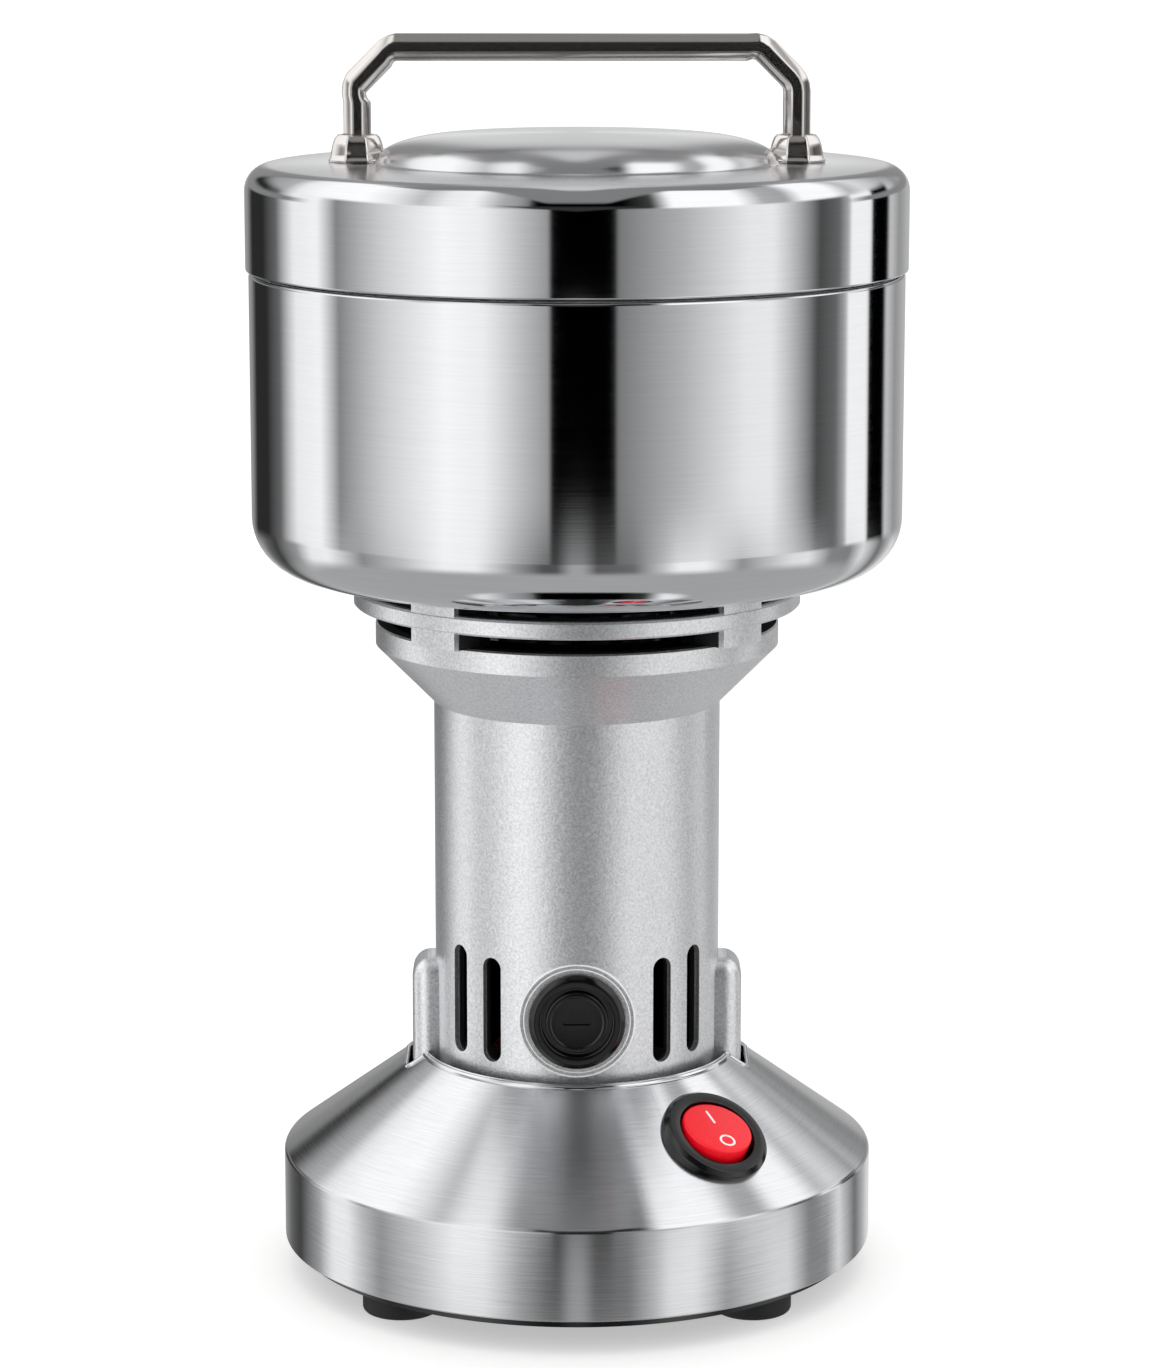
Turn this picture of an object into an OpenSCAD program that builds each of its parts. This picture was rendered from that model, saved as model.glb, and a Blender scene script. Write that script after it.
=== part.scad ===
// Small electric coffee grinder: a steel bowl with a bayonet lid, on a cast motor column
// over a conical steel base.
// Millimetres. Z is up, the table is at zero, the switch and a brush cap face the front (-Y).

/* [Feet and base plate] */
// Radius of a rubber foot
foot_r = 6.6; // [6:0.1:7.4]
// Height of a foot under the base plate
foot_h = 4.25; // [3.6:0.05:6]
// Place of the feet to the left and right, as a share of the base's radius
foot_x_share = 0.581; // [0.56:0.001:0.6]
// Place of the feet to the front and back, as a share of the base's radius
foot_y_share = 0.5375; // [0.52:0.0005:0.56]
// Height of the plate's edge that shows under the cover
plate_edge_h = 1.55; // [1.2:0.05:2.4]
// Thickness of the plate's floor
plate_t = 2.3; // [2:0.1:3]

/* [Base cover] */
// Distance that the base stands out past the column
base_flare = 26.3; // [25.2:0.1:31]
// Height of the cover's upright wall, up to the fold
base_wall_h = 15.45; // [14:0.05:18]
// Rise of the cover's cone, from the fold to the opening
base_cone_h = 17.65; // [16.5:0.05:20]
// Gap between the column and the cover's opening
opening_gap = 2; // [1.5:0.1:2.4]
// Thickness of the cover's steel sheet
sheet_t = 0.8; // [0.6:0.05:1]

/* [Column] */
// Outer radius of the motor column
column_r = 24.3; // [24:0.1:25]
// Wall of the column
column_wall = 2; // [1.6:0.1:2.2]
// Height of the column above the base's opening
column_h = 60.6; // [59:0.1:68]
// Height of the collar's cone
cone_h = 9.9; // [9:0.1:12]
// Width of an air slot in the column
vent_w = 3.7; // [3:0.1:4]
// Distance of the brush axis above the base's opening
brush_rise = 10.5; // [10:0.1:12]

/* [Collar] */
// Outer radius of the collar's lower rim
rim_r = 34.1; // [33.6:0.1:35]
// Height of the lower rim
rim_h = 3.8; // [3:0.1:5]
// Distance that the collar's ring and posts stand out past the lower rim
ring_over = 3.65; // [2.9:0.05:4.9]
// Height of the ring
ring_h = 2.9; // [2.4:0.1:3.4]
// Height of the air slot under the ring
lower_slot_h = 2.9; // [2.5:0.1:3.6]
// Height of the air slot over the ring
upper_slot_h = 3.1; // [2.9:0.1:3.8]
// Width of a collar post
post_w = 9.2; // [8:0.1:10]
// Direction of the left front post, from the front
left_post_angle = -39; // [-42:1:-36]
// Direction of the right front post, from the front
right_post_angle = 46.5; // [44:0.5:50]

/* [Bowl] */
// Outer radius of the bowl
bowl_r = 54.7; // [53:0.1:60]
// Height of the bowl's outer wall
bowl_h = 50.1; // [44:0.1:60]
// Thickness of the bowl's steel
bowl_t = 1; // [0.8:0.05:1.2]
// Radius of the bowl's lower corner
bowl_corner_r = 9.2; // [7:0.1:11]
// Height of the neck that stands inside the lid
neck_h = 9.8; // [9.4:0.1:10.6]

/* [Lid] */
// Distance that the lid stands out past the bowl
lid_over = 0.5; // [0.3:0.1:1]
// Height of the lid's side, from its edge to its flat top
lid_h = 17.65; // [17.4:0.05:20]
// Radius of the lid's upper corner
lid_corner_r = 4.2; // [3:0.1:4.2]
// Thickness of the lid's steel
lid_t = 0.8; // [0.6:0.05:0.9]
// Rise of the raised middle of the lid
panel_rise = 4.5; // [3:0.1:4.7]
// Seam between the bowl's shoulder and the lid's edge
lid_seam = 0.3; // [0.3:0.05:0.6]

/* [Handle] */
// Distance between the middles of the handle's legs
handle_span = 72.8; // [72:0.2:76]
// Height of the handle above the lid's flat top
handle_h = 21.05; // [18:0.05:30]
// Width of the handle's octagonal bar, across its flats
handle_bar = 4.5; // [4:0.1:5]
// Cut of the handle's corners, along the middle of the bar
handle_corner = 5.8; // [5:0.1:7]

/* [Switch] */
// Radius of the switch's black bezel
bezel_r = 9.2; // [9:0.1:9.8]
// Radius of the red rocker
rocker_r = 6; // [5.6:0.1:6.1]
// Place of the switch down the cone, as a share of the cone's width
switch_share = 0.465; // [0.44:0.005:0.5]
// Direction of the switch, from the front
switch_angle = 37.25; // [35:0.25:40]
// Tilt of the rocker to either side
rocker_tilt = 9.5; // [8:0.5:9.5]

/* [Motor] */
// Radius of the armature's core, as a share of the column's radius
core_share = 0.494; // [0.475:0.001:0.502]
// Height of the armature's and stator's stacks
stack_h = 26; // [22:0.5:26]
// Radius of the motor shaft
shaft_r = 4; // [3.8:0.05:4.1]
// Radius of the shaft's ends, in the lower bearing and in the blades
shaft_end_r = 3; // [2.8:0.05:3.2]
// Radius of the commutator
commutator_r = 8.5; // [8:0.1:8.8]
// Radius of the fan
fan_r = 25.4; // [24:0.1:25.8]

/* [Blades] */
// Reach of the lower blade from the shaft
lower_blade_reach = 44; // [38:0.5:46]
// Reach of the upper blade from the shaft
upper_blade_reach = 40; // [34:0.5:44]
// Thickness of a blade
blade_t = 1.8; // [1.5:0.1:2.2]
// Width of a blade at its middle
blade_w = 15; // [13:0.5:18]

/* [Hidden] */
$fn = 96;

// Clearances and the overrun of every cut
over = 0.5;
fit_gap = 0.05;
easy_gap = 0.3;
seat_gap = 0.05;
side_gap = 0.15;

// Screws: radii, heads and recesses
small_screw_r = 1.5;
small_head_r = 2.8;
small_head_h = 1.8;
big_screw_r = 2;
big_head_r = 3.6;
big_head_h = 2.4;
recess_width_share = 0.28;
recess_length_share = 1.2;
recess_depth_share = 0.5;

// The base's heights and radii
plate_z = foot_h;
floor_z = plate_z + plate_t;
rim_z = plate_z + plate_edge_h;
base_edge_z = rim_z + base_wall_h;
opening_z = base_edge_z + base_cone_h;
opening_r = column_r + opening_gap;
base_r = column_r + base_flare;
cone_slope = atan((opening_z - base_edge_z) / (base_r - opening_r));
fold_r = 1.2;
lip_r = 0.55;
base_in_r = base_r - sheet_t;
hem_w = 3.3;
plate_inset = 2.1;
plate_r = base_r - plate_inset;
upstand_t = 1.7;
hem_gap = 0.4;
upstand_r = base_r - hem_w - hem_gap;
upstand_h = 4.5;
service_r = upstand_r - upstand_t - easy_gap;

// Feet
foot_x = base_r * foot_x_share;
foot_y = base_r * foot_y_share;
foot_edge = 0.6;
foot_recess_gap = 0.8;
foot_recess_r = small_head_r + foot_recess_gap;
foot_recess_share = 0.56;
foot_recess_h = foot_h * foot_recess_share;
foot_boss_r = 4;
foot_boss_h = 6.5;
foot_grip = 6;

// Pillars that join the casting and the base plate
ear_d = 3.9;
ear_x = column_r + ear_d;
ear_w = 12;
ear_round_h = 5.5;
ear_rise = 15.8;
notch_gap = 1.1;
pillar_gap = 0.1;
boss_h = 7.95;
boss_r = 5.6;
boss_floor_t = 4.5;
pillar_z = floor_z + boss_h + pillar_gap;
ear_hole_inset = 3;
ear_hole_x = ear_x - ear_hole_inset;
inner_pillar_w = 9;
inner_pillar_d = 6.8;
inner_pillar_in_r = column_r - inner_pillar_d;
inner_pillar_out_r = column_r - side_gap;
inner_hole_inset = 3.5;
inner_hole_r = column_r - inner_hole_inset;
pillar_hole_h = 11;
base_screw_grip = 9.5;

// Column and collar
column_in_r = column_r - column_wall;
column_sink = 8.4;
column_bottom_z = opening_z - column_sink;
column_top_z = opening_z + column_h;
cone_top_z = column_top_z + cone_h;
rim_top_z = cone_top_z + rim_h;
ring_z = rim_top_z + lower_slot_h;
ring_top_z = ring_z + ring_h;
bowl_z = ring_top_z + upper_slot_h;
rim_wall = 2.4;
rim_in_r = rim_r - rim_wall;
ring_r = rim_r + ring_over;
ring_w = 4.5;
edge = 0.35;
moulding_edge = 0.5;
post_step = 0.5;
post_in_r = rim_in_r - post_step;
post_angles = [left_post_angle, right_post_angle, left_post_angle + 180, right_post_angle + 180];
bowl_screw_r = (post_in_r + ring_r) / 2;
bowl_screw_grip = 7;

// Air slots in the column: directions from the front, and how far they stand above the opening
vent_angles = [36, 54];
vent_feet = [2, 2.3];
vent_tops = [20, 20.9];

// Brush gear
brush_z = opening_z + brush_rise;
brush_boss_r = 9.6;
brush_boss_proud = 0.7;
brush_boss_y = column_r + brush_boss_proud;
brush_boss_d = 6.3;
brush_boss_in_y = column_r - brush_boss_d;
holder_r = 6.6;
holder_flange_r = 8.07;
holder_flange_t = 1.3;
holder_tip_gap = 2.7;
holder_tip_y = commutator_r + holder_tip_gap;
holder_face_y = brush_boss_y + holder_flange_t;
cap_r = 5.2;
cap_head_t = 1.1;
cap_groove = 0.7;
cap_stem_r = 4.4;
cap_stem_h = 3.9;
cap_slot_l = 4.7;
cap_slot_w = 0.85;
brush_w = 5;
brush_h = 6;
channel_gap = 0.1;
cap_stem_y = holder_face_y - cap_head_t - cap_stem_h;
brush_share = 0.656;
brush_l = (cap_stem_y - commutator_r - side_gap) * brush_share;
brush_back_y = commutator_r + side_gap + brush_l;
spring_wire_r = 0.3;
spring_r = 1.9;
spring_turns = 4;

// Lower bearing and its bracket
race_share = 0.3;
ball_space_share = 1.25;
lower_bearing_r = 9.5;
lower_bearing_h = 6;
lower_ball_r = 1.4;
bracket_t = 3;
bearing_lip_t = 1.2;
bearing_lip_w = 1.6;
hub_wall = 2.4;
bracket_gap = 0.2;
lower_bracket_z = column_bottom_z + bracket_gap;
lower_bearing_z = lower_bracket_z + bearing_lip_t;
pad_z = lower_bracket_z + bracket_t;
pad_h = 7;
pad_d = 7.6;
pad_in_r = column_r - pad_d;
pad_screw_inset = 5;
pad_screw_r = column_r - pad_screw_inset;
pad_half_angle = 9;
pad_angles = [45, 135, 225, 315];
bracket_window_r = 2.7;
bracket_window_x = (lower_bearing_r + hub_wall + column_in_r) / 2;

// Stator, armature and commutator
stack_rise = 16.4;
stack_z = brush_z + stack_rise;
stack_top_z = stack_z + stack_h;
stator_r = column_in_r - side_gap;
stator_flat_cut = 2;
stator_flat = 2 * (stator_r - stator_flat_cut);
air_gap = 0.45;
core_r = column_r * core_share;
stator_bore_r = core_r + air_gap;
window_share = 0.531;
window_r = stator_bore_r + (stator_r - stator_bore_r) * window_share;
window_half_angle = 36;
coil_gap = 0.75;
coil_in_r = stator_bore_r + coil_gap;
coil_out_r = window_r - easy_gap;
coil_leg_half_angle = 15;
coil_split_angle = 3;
coil_leg_angle = 90 - coil_leg_half_angle - coil_split_angle;
coil_end_h = 5.5;
stator_screw_x = (window_r + stator_r) / 2;
stator_ledge_h = coil_end_h;
stator_ledge_half_angle = 14;
stator_ledge_gap = 0.6;
stator_ledge_in_r = window_r + stator_ledge_gap;
stator_screw_grip = 4.5;
stator_head_r = (stator_r - window_r) / 2 - fit_gap;
slot_count = 12;
slot_ring_share = 0.715;
slot_ring_r = core_r * slot_ring_share;
slot_share = 0.125;
slot_r = core_r * slot_share;
slot_mouth_w = 1.2;
winding_inset = 1;
winding_r = core_r - winding_inset;
winding_gap = 0.2;
winding_top_h = 7;
winding_foot_h = 8;
commutator_h = 13.4;
commutator_z = brush_z - commutator_h / 2;
bar_count = 22;
bar_cut_w = 0.4;
bar_cut_d = 0.8;
riser_h = 2;
riser_w = 1.1;

// Upper bearing, its bracket and the fan
upper_bearing_r = 11;
upper_bearing_h = 7;
upper_ball_r = 1.75;
bracket_top_z = bowl_z - bracket_gap;
upper_bearing_z = bracket_top_z - upper_bearing_h;
upper_bracket_t = upper_slot_h - bracket_gap;
upper_bracket_r = post_in_r - easy_gap;
upper_screw_inset = 2.85;
upper_bracket_screw_x = upper_bracket_r - upper_screw_inset;
fan_side_gap = 1.5;
ledge_in_r = fan_r + fan_side_gap;
ledge_top_z = bracket_top_z - upper_bracket_t;
ledge_half_angle = 7;
ledge_grip = 5;
counterbore_h = 1.6;
fan_gap = 0.5;
fan_h = 8.2;
fan_disc_t = 1.2;
fan_hub_r = 7;
fan_blade_t = 1.2;
fan_blade_count = 11;
fan_blade_in_r = 9;
fan_top_z = upper_bearing_z - bearing_lip_t - fan_gap;
fan_z = fan_top_z - fan_h;

// Shaft, seal and blades
shaft_foot_z = lower_bearing_z - bracket_gap;
shaft_step_z = lower_bearing_z + lower_bearing_h;
bowl_floor_z = bowl_z + bowl_t;
bowl_hole_r = 8.5;
seal_flange_r = 13;
seal_flange_t = 2;
seal_bore_gap = 0.08;
seal_top_z = bowl_floor_z + seal_flange_t;
blade_seat_z = seal_top_z + easy_gap;
spacer_r = 6.5;
lower_spacer_h = 4.6;
middle_spacer_h = 4.5;
washer_t = 1;
lower_blade_z = blade_seat_z + lower_spacer_h;
upper_blade_z = lower_blade_z + blade_t + middle_spacer_h;
washer_z = upper_blade_z + blade_t;
nut_z = washer_z + washer_t;
nut_r = 5.8;
nut_h = 4.4;
nut_dome_r = 4.6;
nut_thread_h = 4.6;
blade_bend_shares = [0.27, 0.54, 0.82, 1];
lower_blade_rises = [0, -3, -3, 4];
upper_blade_rises = [0, 5, 5, 9];
blade_tip_w_share = 0.5;

// Bowl, neck and lid
shoulder_z = bowl_z + bowl_h;
bead_r = 0.8;
shoulder_w = 3.1;
neck_r = bowl_r - shoulder_w;
neck_top_z = shoulder_z + neck_h;
lug_d = 1.1;
lug_h = 2;
lug_top_gap = 2.5;
lug_half_angle = 10;
lug_angles = [0, 120, 240];
lid_turn = 30;
lid_r = bowl_r + lid_over;
lid_in_r = lid_r - lid_t;
lid_z = shoulder_z + lid_seam;
lid_top_z = lid_z + lid_h;
lid_hem_r = 0.4;
leg_x = handle_span / 2;
ferrule_r = 4.9;
panel_gap = 0.15;
panel_out_r = leg_x - handle_bar / 2 - panel_gap;
panel_foot_w = 0.6;
panel_shoulder_w = 13.4;
panel_in_r = panel_out_r - panel_foot_w - panel_shoulder_w;
panel_steps = 8;
panel_dome_h = 0.4;
panel_middle_share = 0.75;
top_fall_gap = 0.7;
top_fall_r = leg_x + ferrule_r + top_fall_gap;
top_fall_h = 0.4;
liner_r = lid_in_r - easy_gap;
liner_in_r = neck_r + lug_d + easy_gap;
liner_t = 1.8;
seal_h = 2.1;
seal_w = 3;
seal_z = neck_top_z + seat_gap;
liner_top_gap = seat_gap;
liner_disc_z = seal_z + seal_h + liner_top_gap;
liner_disc_top_z = liner_disc_z + liner_t;
liner_inset = 0.5;
liner_foot_z = lid_z + liner_inset;
liner_lug_h = 2.4;
lug_play = 0.6;
liner_lug_top_z = neck_top_z - lug_top_gap - lug_h - lug_play;
liner_boss_r = 5;

// Handle and ferrules
bar_circle_r = handle_bar / 2 / cos(22.5);
bar_z = lid_top_z + handle_h - handle_bar / 2;
bend_r = 3.6;
bend_run = bend_r * tan(22.5);
ferrule_top_r = 3.6;
ferrule_h = 4.1;
ferrule_gap = 0.35;
handle_screw_grip = 7.5;
handle_screw_r = 1.6;

// Switch
switch_r = opening_r + (base_r - opening_r) * switch_share;
switch_z = opening_z - (switch_r - opening_r) * tan(cone_slope);
switch_twist = -6;
bezel_h = 1.6;
rocker_gap = 0.6;
bezel_in_r = rocker_r + rocker_gap;
bezel_lip = 1.2;
switch_body_r = bezel_r - bezel_lip;
switch_depth = 12;
switch_wall = 1.2;
pivot_depth = 2.4;
pivot_r = 1;
pivot_pin_l = 1.4;
pin_reach = rocker_r + pivot_pin_l;
pivot_gap = 0.06;
rocker_face_h = 3.1;
rocker_edge = 0.5;
rocker_stem_inset = 1;
rocker_stem_r = rocker_r - rocker_stem_inset;
rocker_stem_h = 3.4;
rocker_skirt_h = 1.5;
tab_w = 4.8;
tab_t = 0.8;
tab_l = 6;
tab_y = 4;

// Cord gland in the rear wall
gland_rise = 7.2;
gland_z = rim_z + gland_rise;
gland_bore_r = 3.2;
gland_body_r = 5.1;
gland_flange_r = 7;
gland_inner_r = gland_rise - sheet_t - bracket_gap;
gland_flange_t = 2.2;
gland_inner_t = 2.6;
gland_notch_w = 15;

// Terminal block, capacitor and wires
block_size = [16, 9, 8];
block_x = -22;
block_place = [block_x, sqrt(pow(service_r, 2) - pow(block_x, 2)) - block_size[1]];
block_top_z = floor_z + block_size[2];
block_screw_r = 1.3;
block_screw_shares = [0.25, 0.75];
block_screw_head_r = 1.9;
capacitor_size = [13, 9, 12];
capacitor_x = 9;
capacitor_reach = capacitor_x + capacitor_size[0];
capacitor_place = [capacitor_x, sqrt(pow(service_r, 2) - pow(capacitor_reach, 2)) - capacitor_size[1]];
wire_r = 0.8;
wire_side = [0.3, 1, 0.2];
lead_rise = 5;
lead_gap = wire_r + fit_gap;

// A place in the switch's own frame, as a place in the whole
function from_switch(v) =
    let (
        x = v[0] * cos(switch_twist) - v[1] * sin(switch_twist),
        up = v[0] * sin(switch_twist) + v[1] * cos(switch_twist),
        y = up * cos(cone_slope) - v[2] * sin(cone_slope) - switch_r,
        z = up * sin(cone_slope) + v[2] * cos(cone_slope) + switch_z
    )
    [x * cos(switch_angle) - y * sin(switch_angle), x * sin(switch_angle) + y * cos(switch_angle), z];

// A lead's first two places, upright over one screw of the terminal block
function from_block(share) =
    let (
        x = block_place[0] + block_size[0] * share,
        y = block_place[1] + block_size[1] / 2,
        z = block_top_z + small_head_h / 2 + fit_gap
    )
    [[x, y, z], [x, y, z + lead_rise]];

// A lead's last three places: up through a window of the bracket and on to a brush holder
function to_brush(side) =
    let (reach = (holder_r + lead_gap) / sqrt(2))
    [
        [side * bracket_window_x, 0, lower_bracket_z - bracket_t],
        [side * bracket_window_x, 0, lower_bracket_z + bracket_t + lead_gap],
        [side * reach, -side * (holder_tip_y + 2 * wire_r), brush_z - reach]
    ];

// Routes of the leads: the mains lead to the switch, and both leads to the brushes
tab_end_z = -switch_depth - tab_l - lead_gap;
live_route = concat(from_block(block_screw_shares[0]), [
    [0, block_place[1] + block_size[1] / 2, block_top_z + 2 * lead_rise],
    [ear_x - 2 * lead_gap, column_r - 2 * lead_gap, block_top_z + 2 * lead_rise],
    [ear_x + 2 * lead_gap, lead_rise, block_top_z + lead_rise],
    [ear_x + 2 * lead_gap, -ear_w / 2 - 2 * lead_gap, block_top_z + lead_gap],
    from_switch([0, -tab_y, tab_end_z])
]);
switched_route = concat(
    [from_switch([0, tab_y, tab_end_z])],
    [[bracket_window_x - 2 * lead_gap, -block_size[1], block_top_z + lead_rise]],
    to_brush(1)
);
neutral_route = concat(
    from_block(block_screw_shares[1]),
    [[-bracket_window_x, block_size[1], block_top_z + 2 * lead_rise]],
    to_brush(-1)
);

// Points along an arc
function arc(c, r, from, to, n = 8) =
    [for (i = [0 : n]) let (a = from + (to - from) * i / n) [c[0] + r * cos(a), c[1] + r * sin(a)]];

// A list from its last to its first
function reversed(list) = [for (i = [len(list) - 1 : -1 : 0]) list[i]];

// Turns what is drawn at the front to a direction
module facing(angle) {
    rotate([0, 0, angle]) children();
}

// A round piece whose axis points to the front, from its far end to its near end
module front_rod(r, far_y, near_y, z) {
    translate([0, -far_y, z]) rotate([90, 0, 0]) cylinder(r = r, h = near_y - far_y);
}

// A plain tube
module tube(outer_r, inner_r, h) {
    difference() {
        cylinder(r = outer_r, h = h);
        translate([0, 0, -over]) cylinder(r = inner_r, h = h + 2 * over);
    }
}

// A sector of a tube, centred on a direction from the front
module sector(inner_r, outer_r, h, half_angle, angle) {
    rotate([0, 0, angle - 90 - half_angle])
        rotate_extrude(angle = 2 * half_angle)
            translate([inner_r, 0]) square([outer_r - inner_r, h]);
}

// A screw with its head on top of the seat at zero and its shank below
module screw(head_r, head_h, shank_r, grip) {
    recess_w = head_r * recess_width_share;
    recess_l = head_r * recess_length_share;
    recess_d = head_h * recess_depth_share;
    difference() {
        union() {
            cylinder(r = head_r, h = head_h);
            translate([0, 0, -grip]) cylinder(r = shank_r, h = grip + head_h - recess_d);
        }
        for (turn = [0, 90])
            rotate([0, 0, turn])
                translate([-recess_l / 2, -recess_w / 2, head_h - recess_d])
                    cube([recess_l, recess_w, recess_d + over]);
    }
}

// The places of the feet
module at_feet() {
    for (sx = [-1, 1])
        for (sy = [-1, 1])
            translate([sx * foot_x, sy * foot_y, 0]) children();
}

// The places of the four screws that join the plate and the casting
module at_pillars() {
    for (side = [0, 180])
        rotate([0, 0, side]) {
            translate([ear_hole_x, 0, 0]) children();
            translate([0, inner_hole_r, 0]) children();
        }
}

module rubber_feet() {
    color("#1b1b1c") at_feet() difference() {
        rotate_extrude() polygon([
            [0, 0], [foot_r - foot_edge, 0], [foot_r, foot_edge], [foot_r, foot_h], [0, foot_h]
        ]);
        translate([0, 0, -over]) cylinder(r = foot_recess_r, h = foot_recess_h + over);
        cylinder(r = small_screw_r + easy_gap, h = foot_h + over);
    }
}

module foot_screws() {
    color("#c4c6c8") at_feet()
        translate([0, 0, foot_recess_h])
            rotate([180, 0, 0])
                screw(small_head_r, small_head_h, small_screw_r, foot_h - foot_recess_h + foot_grip);
}

module base_plate() {
    color("#202022") difference() {
        union() {
            translate([0, 0, plate_z]) cylinder(r = plate_r, h = plate_edge_h);
            translate([0, 0, plate_z]) cylinder(r = upstand_r, h = plate_t);
            translate([0, 0, plate_z]) tube(upstand_r, upstand_r - upstand_t, plate_t + upstand_h);
            at_feet() translate([0, 0, plate_z]) cylinder(r = foot_boss_r, h = plate_t + foot_boss_h);
            at_pillars() translate([0, 0, plate_z]) cylinder(r = boss_r, h = plate_t + boss_h);
        }
        at_feet() translate([0, 0, plate_z - over])
            cylinder(r = small_screw_r + fit_gap, h = foot_grip + over + fit_gap);
        at_pillars() translate([0, 0, plate_z - over])
            cylinder(r = big_head_r + easy_gap, h = plate_t + boss_h - boss_floor_t + over);
        at_pillars() translate([0, 0, plate_z])
            cylinder(r = small_screw_r + easy_gap, h = plate_t + boss_h + over);
        translate([-gland_notch_w / 2, upstand_r - upstand_t - over, floor_z])
            cube([gland_notch_w, hem_w, upstand_h + over]);
    }
}

module base_screws() {
    color("#c4c6c8") at_pillars()
        translate([0, 0, floor_z + boss_h - boss_floor_t])
            rotate([180, 0, 0]) screw(big_head_r, big_head_h, small_screw_r, base_screw_grip + boss_floor_t);
}

// Half section of the cover, drawn out from the column
module cover_section() {
    fold_c = [base_r - fold_r, base_edge_z - fold_r * (1 - sin(cone_slope)) / cos(cone_slope)];
    cone_in_z = opening_z - sheet_t / cos(cone_slope);
    polygon(concat(
        [[base_r - hem_w, rim_z], [base_r, rim_z]],
        arc(fold_c, fold_r, 0, 90 - cone_slope),
        [[opening_r, opening_z], [opening_r, cone_in_z]],
        arc(fold_c, fold_r - sheet_t, 90 - cone_slope, 0),
        [[base_in_r, rim_z + sheet_t], [base_r - hem_w, rim_z + sheet_t]]
    ));
}

module base_cover() {
    color("#c9cacc") difference() {
        union() {
            rotate_extrude() cover_section();
            translate([0, 0, opening_z - lip_r])
                rotate_extrude() translate([opening_r + lip_r, 0]) circle(r = lip_r, $fn = 32);
        }
        for (side = [0, 180])
            rotate([0, 0, side])
                translate([0, -ear_w / 2 - notch_gap, base_edge_z])
                    cube([ear_x + notch_gap, ear_w + 2 * notch_gap, base_cone_h + over]);
        at_switch() translate([0, 0, -base_wall_h / 2])
            cylinder(r = switch_body_r + side_gap, h = base_wall_h);
        translate([0, base_in_r - hem_w, gland_z])
            rotate([-90, 0, 0]) cylinder(r = gland_body_r + fit_gap, h = 2 * hem_w);
    }
}

module cord_gland() {
    color("#1d1d1f") difference() {
        union() {
            translate([0, base_in_r - gland_inner_t, gland_z])
                rotate([-90, 0, 0])
                    cylinder(r = gland_body_r, h = gland_inner_t + sheet_t + gland_flange_t / 2);
            intersection() {
                translate([0, base_in_r - gland_inner_t, gland_z])
                    rotate([-90, 0, 0]) cylinder(r = gland_inner_r, h = gland_inner_t);
                cylinder(r = base_in_r - fit_gap, h = opening_z);
            }
            difference() {
                translate([0, base_in_r - over, gland_z])
                    rotate([-90, 0, 0]) cylinder(r = gland_flange_r, h = over + sheet_t + gland_flange_t);
                cylinder(r = base_r + fit_gap, h = opening_z);
            }
        }
        translate([0, base_in_r - gland_inner_t - over, gland_z])
            rotate([-90, 0, 0])
                cylinder(r = gland_bore_r, h = gland_inner_t + sheet_t + gland_flange_t + 2 * over);
    }
}

// An air slot with round ends, through the column's wall at the front
module vent(foot, top) {
    end_r = vent_w / 2;
    low_z = opening_z + foot + end_r;
    high_z = opening_z + top - end_r;
    front_rod(end_r, column_in_r - over, column_r + over, low_z);
    front_rod(end_r, column_in_r - over, column_r + over, high_z);
    translate([-end_r, -column_r - over, low_z]) cube([vent_w, column_wall + 2 * over, high_z - low_z]);
}

// The shaped ear on the column's right side, and the pillar under it
module ear() {
    top_z = opening_z + ear_rise;
    foot_z = top_z - ear_round_h;
    outline = concat(
        [[column_in_r, pillar_z], [ear_x, pillar_z]],
        [for (i = [0 : 8]) [column_r + ear_d * cos(i * 11.25), foot_z + ear_round_h * sin(i * 11.25)]],
        [[column_in_r, top_z]]
    );
    translate([0, ear_w / 2, 0]) rotate([90, 0, 0]) linear_extrude(height = ear_w) polygon(outline);
}

// The pillar inside the column's foot, at the rear
module inner_pillar() {
    intersection() {
        translate([-inner_pillar_w / 2, inner_pillar_in_r, pillar_z])
            cube([inner_pillar_w, column_r, column_bottom_z - pillar_z]);
        cylinder(r = inner_pillar_out_r, h = column_bottom_z);
    }
    translate([0, 0, column_bottom_z - bracket_t])
        sector(column_in_r + side_gap, inner_pillar_out_r, 2 * bracket_t, pad_half_angle, 180);
}

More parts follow.
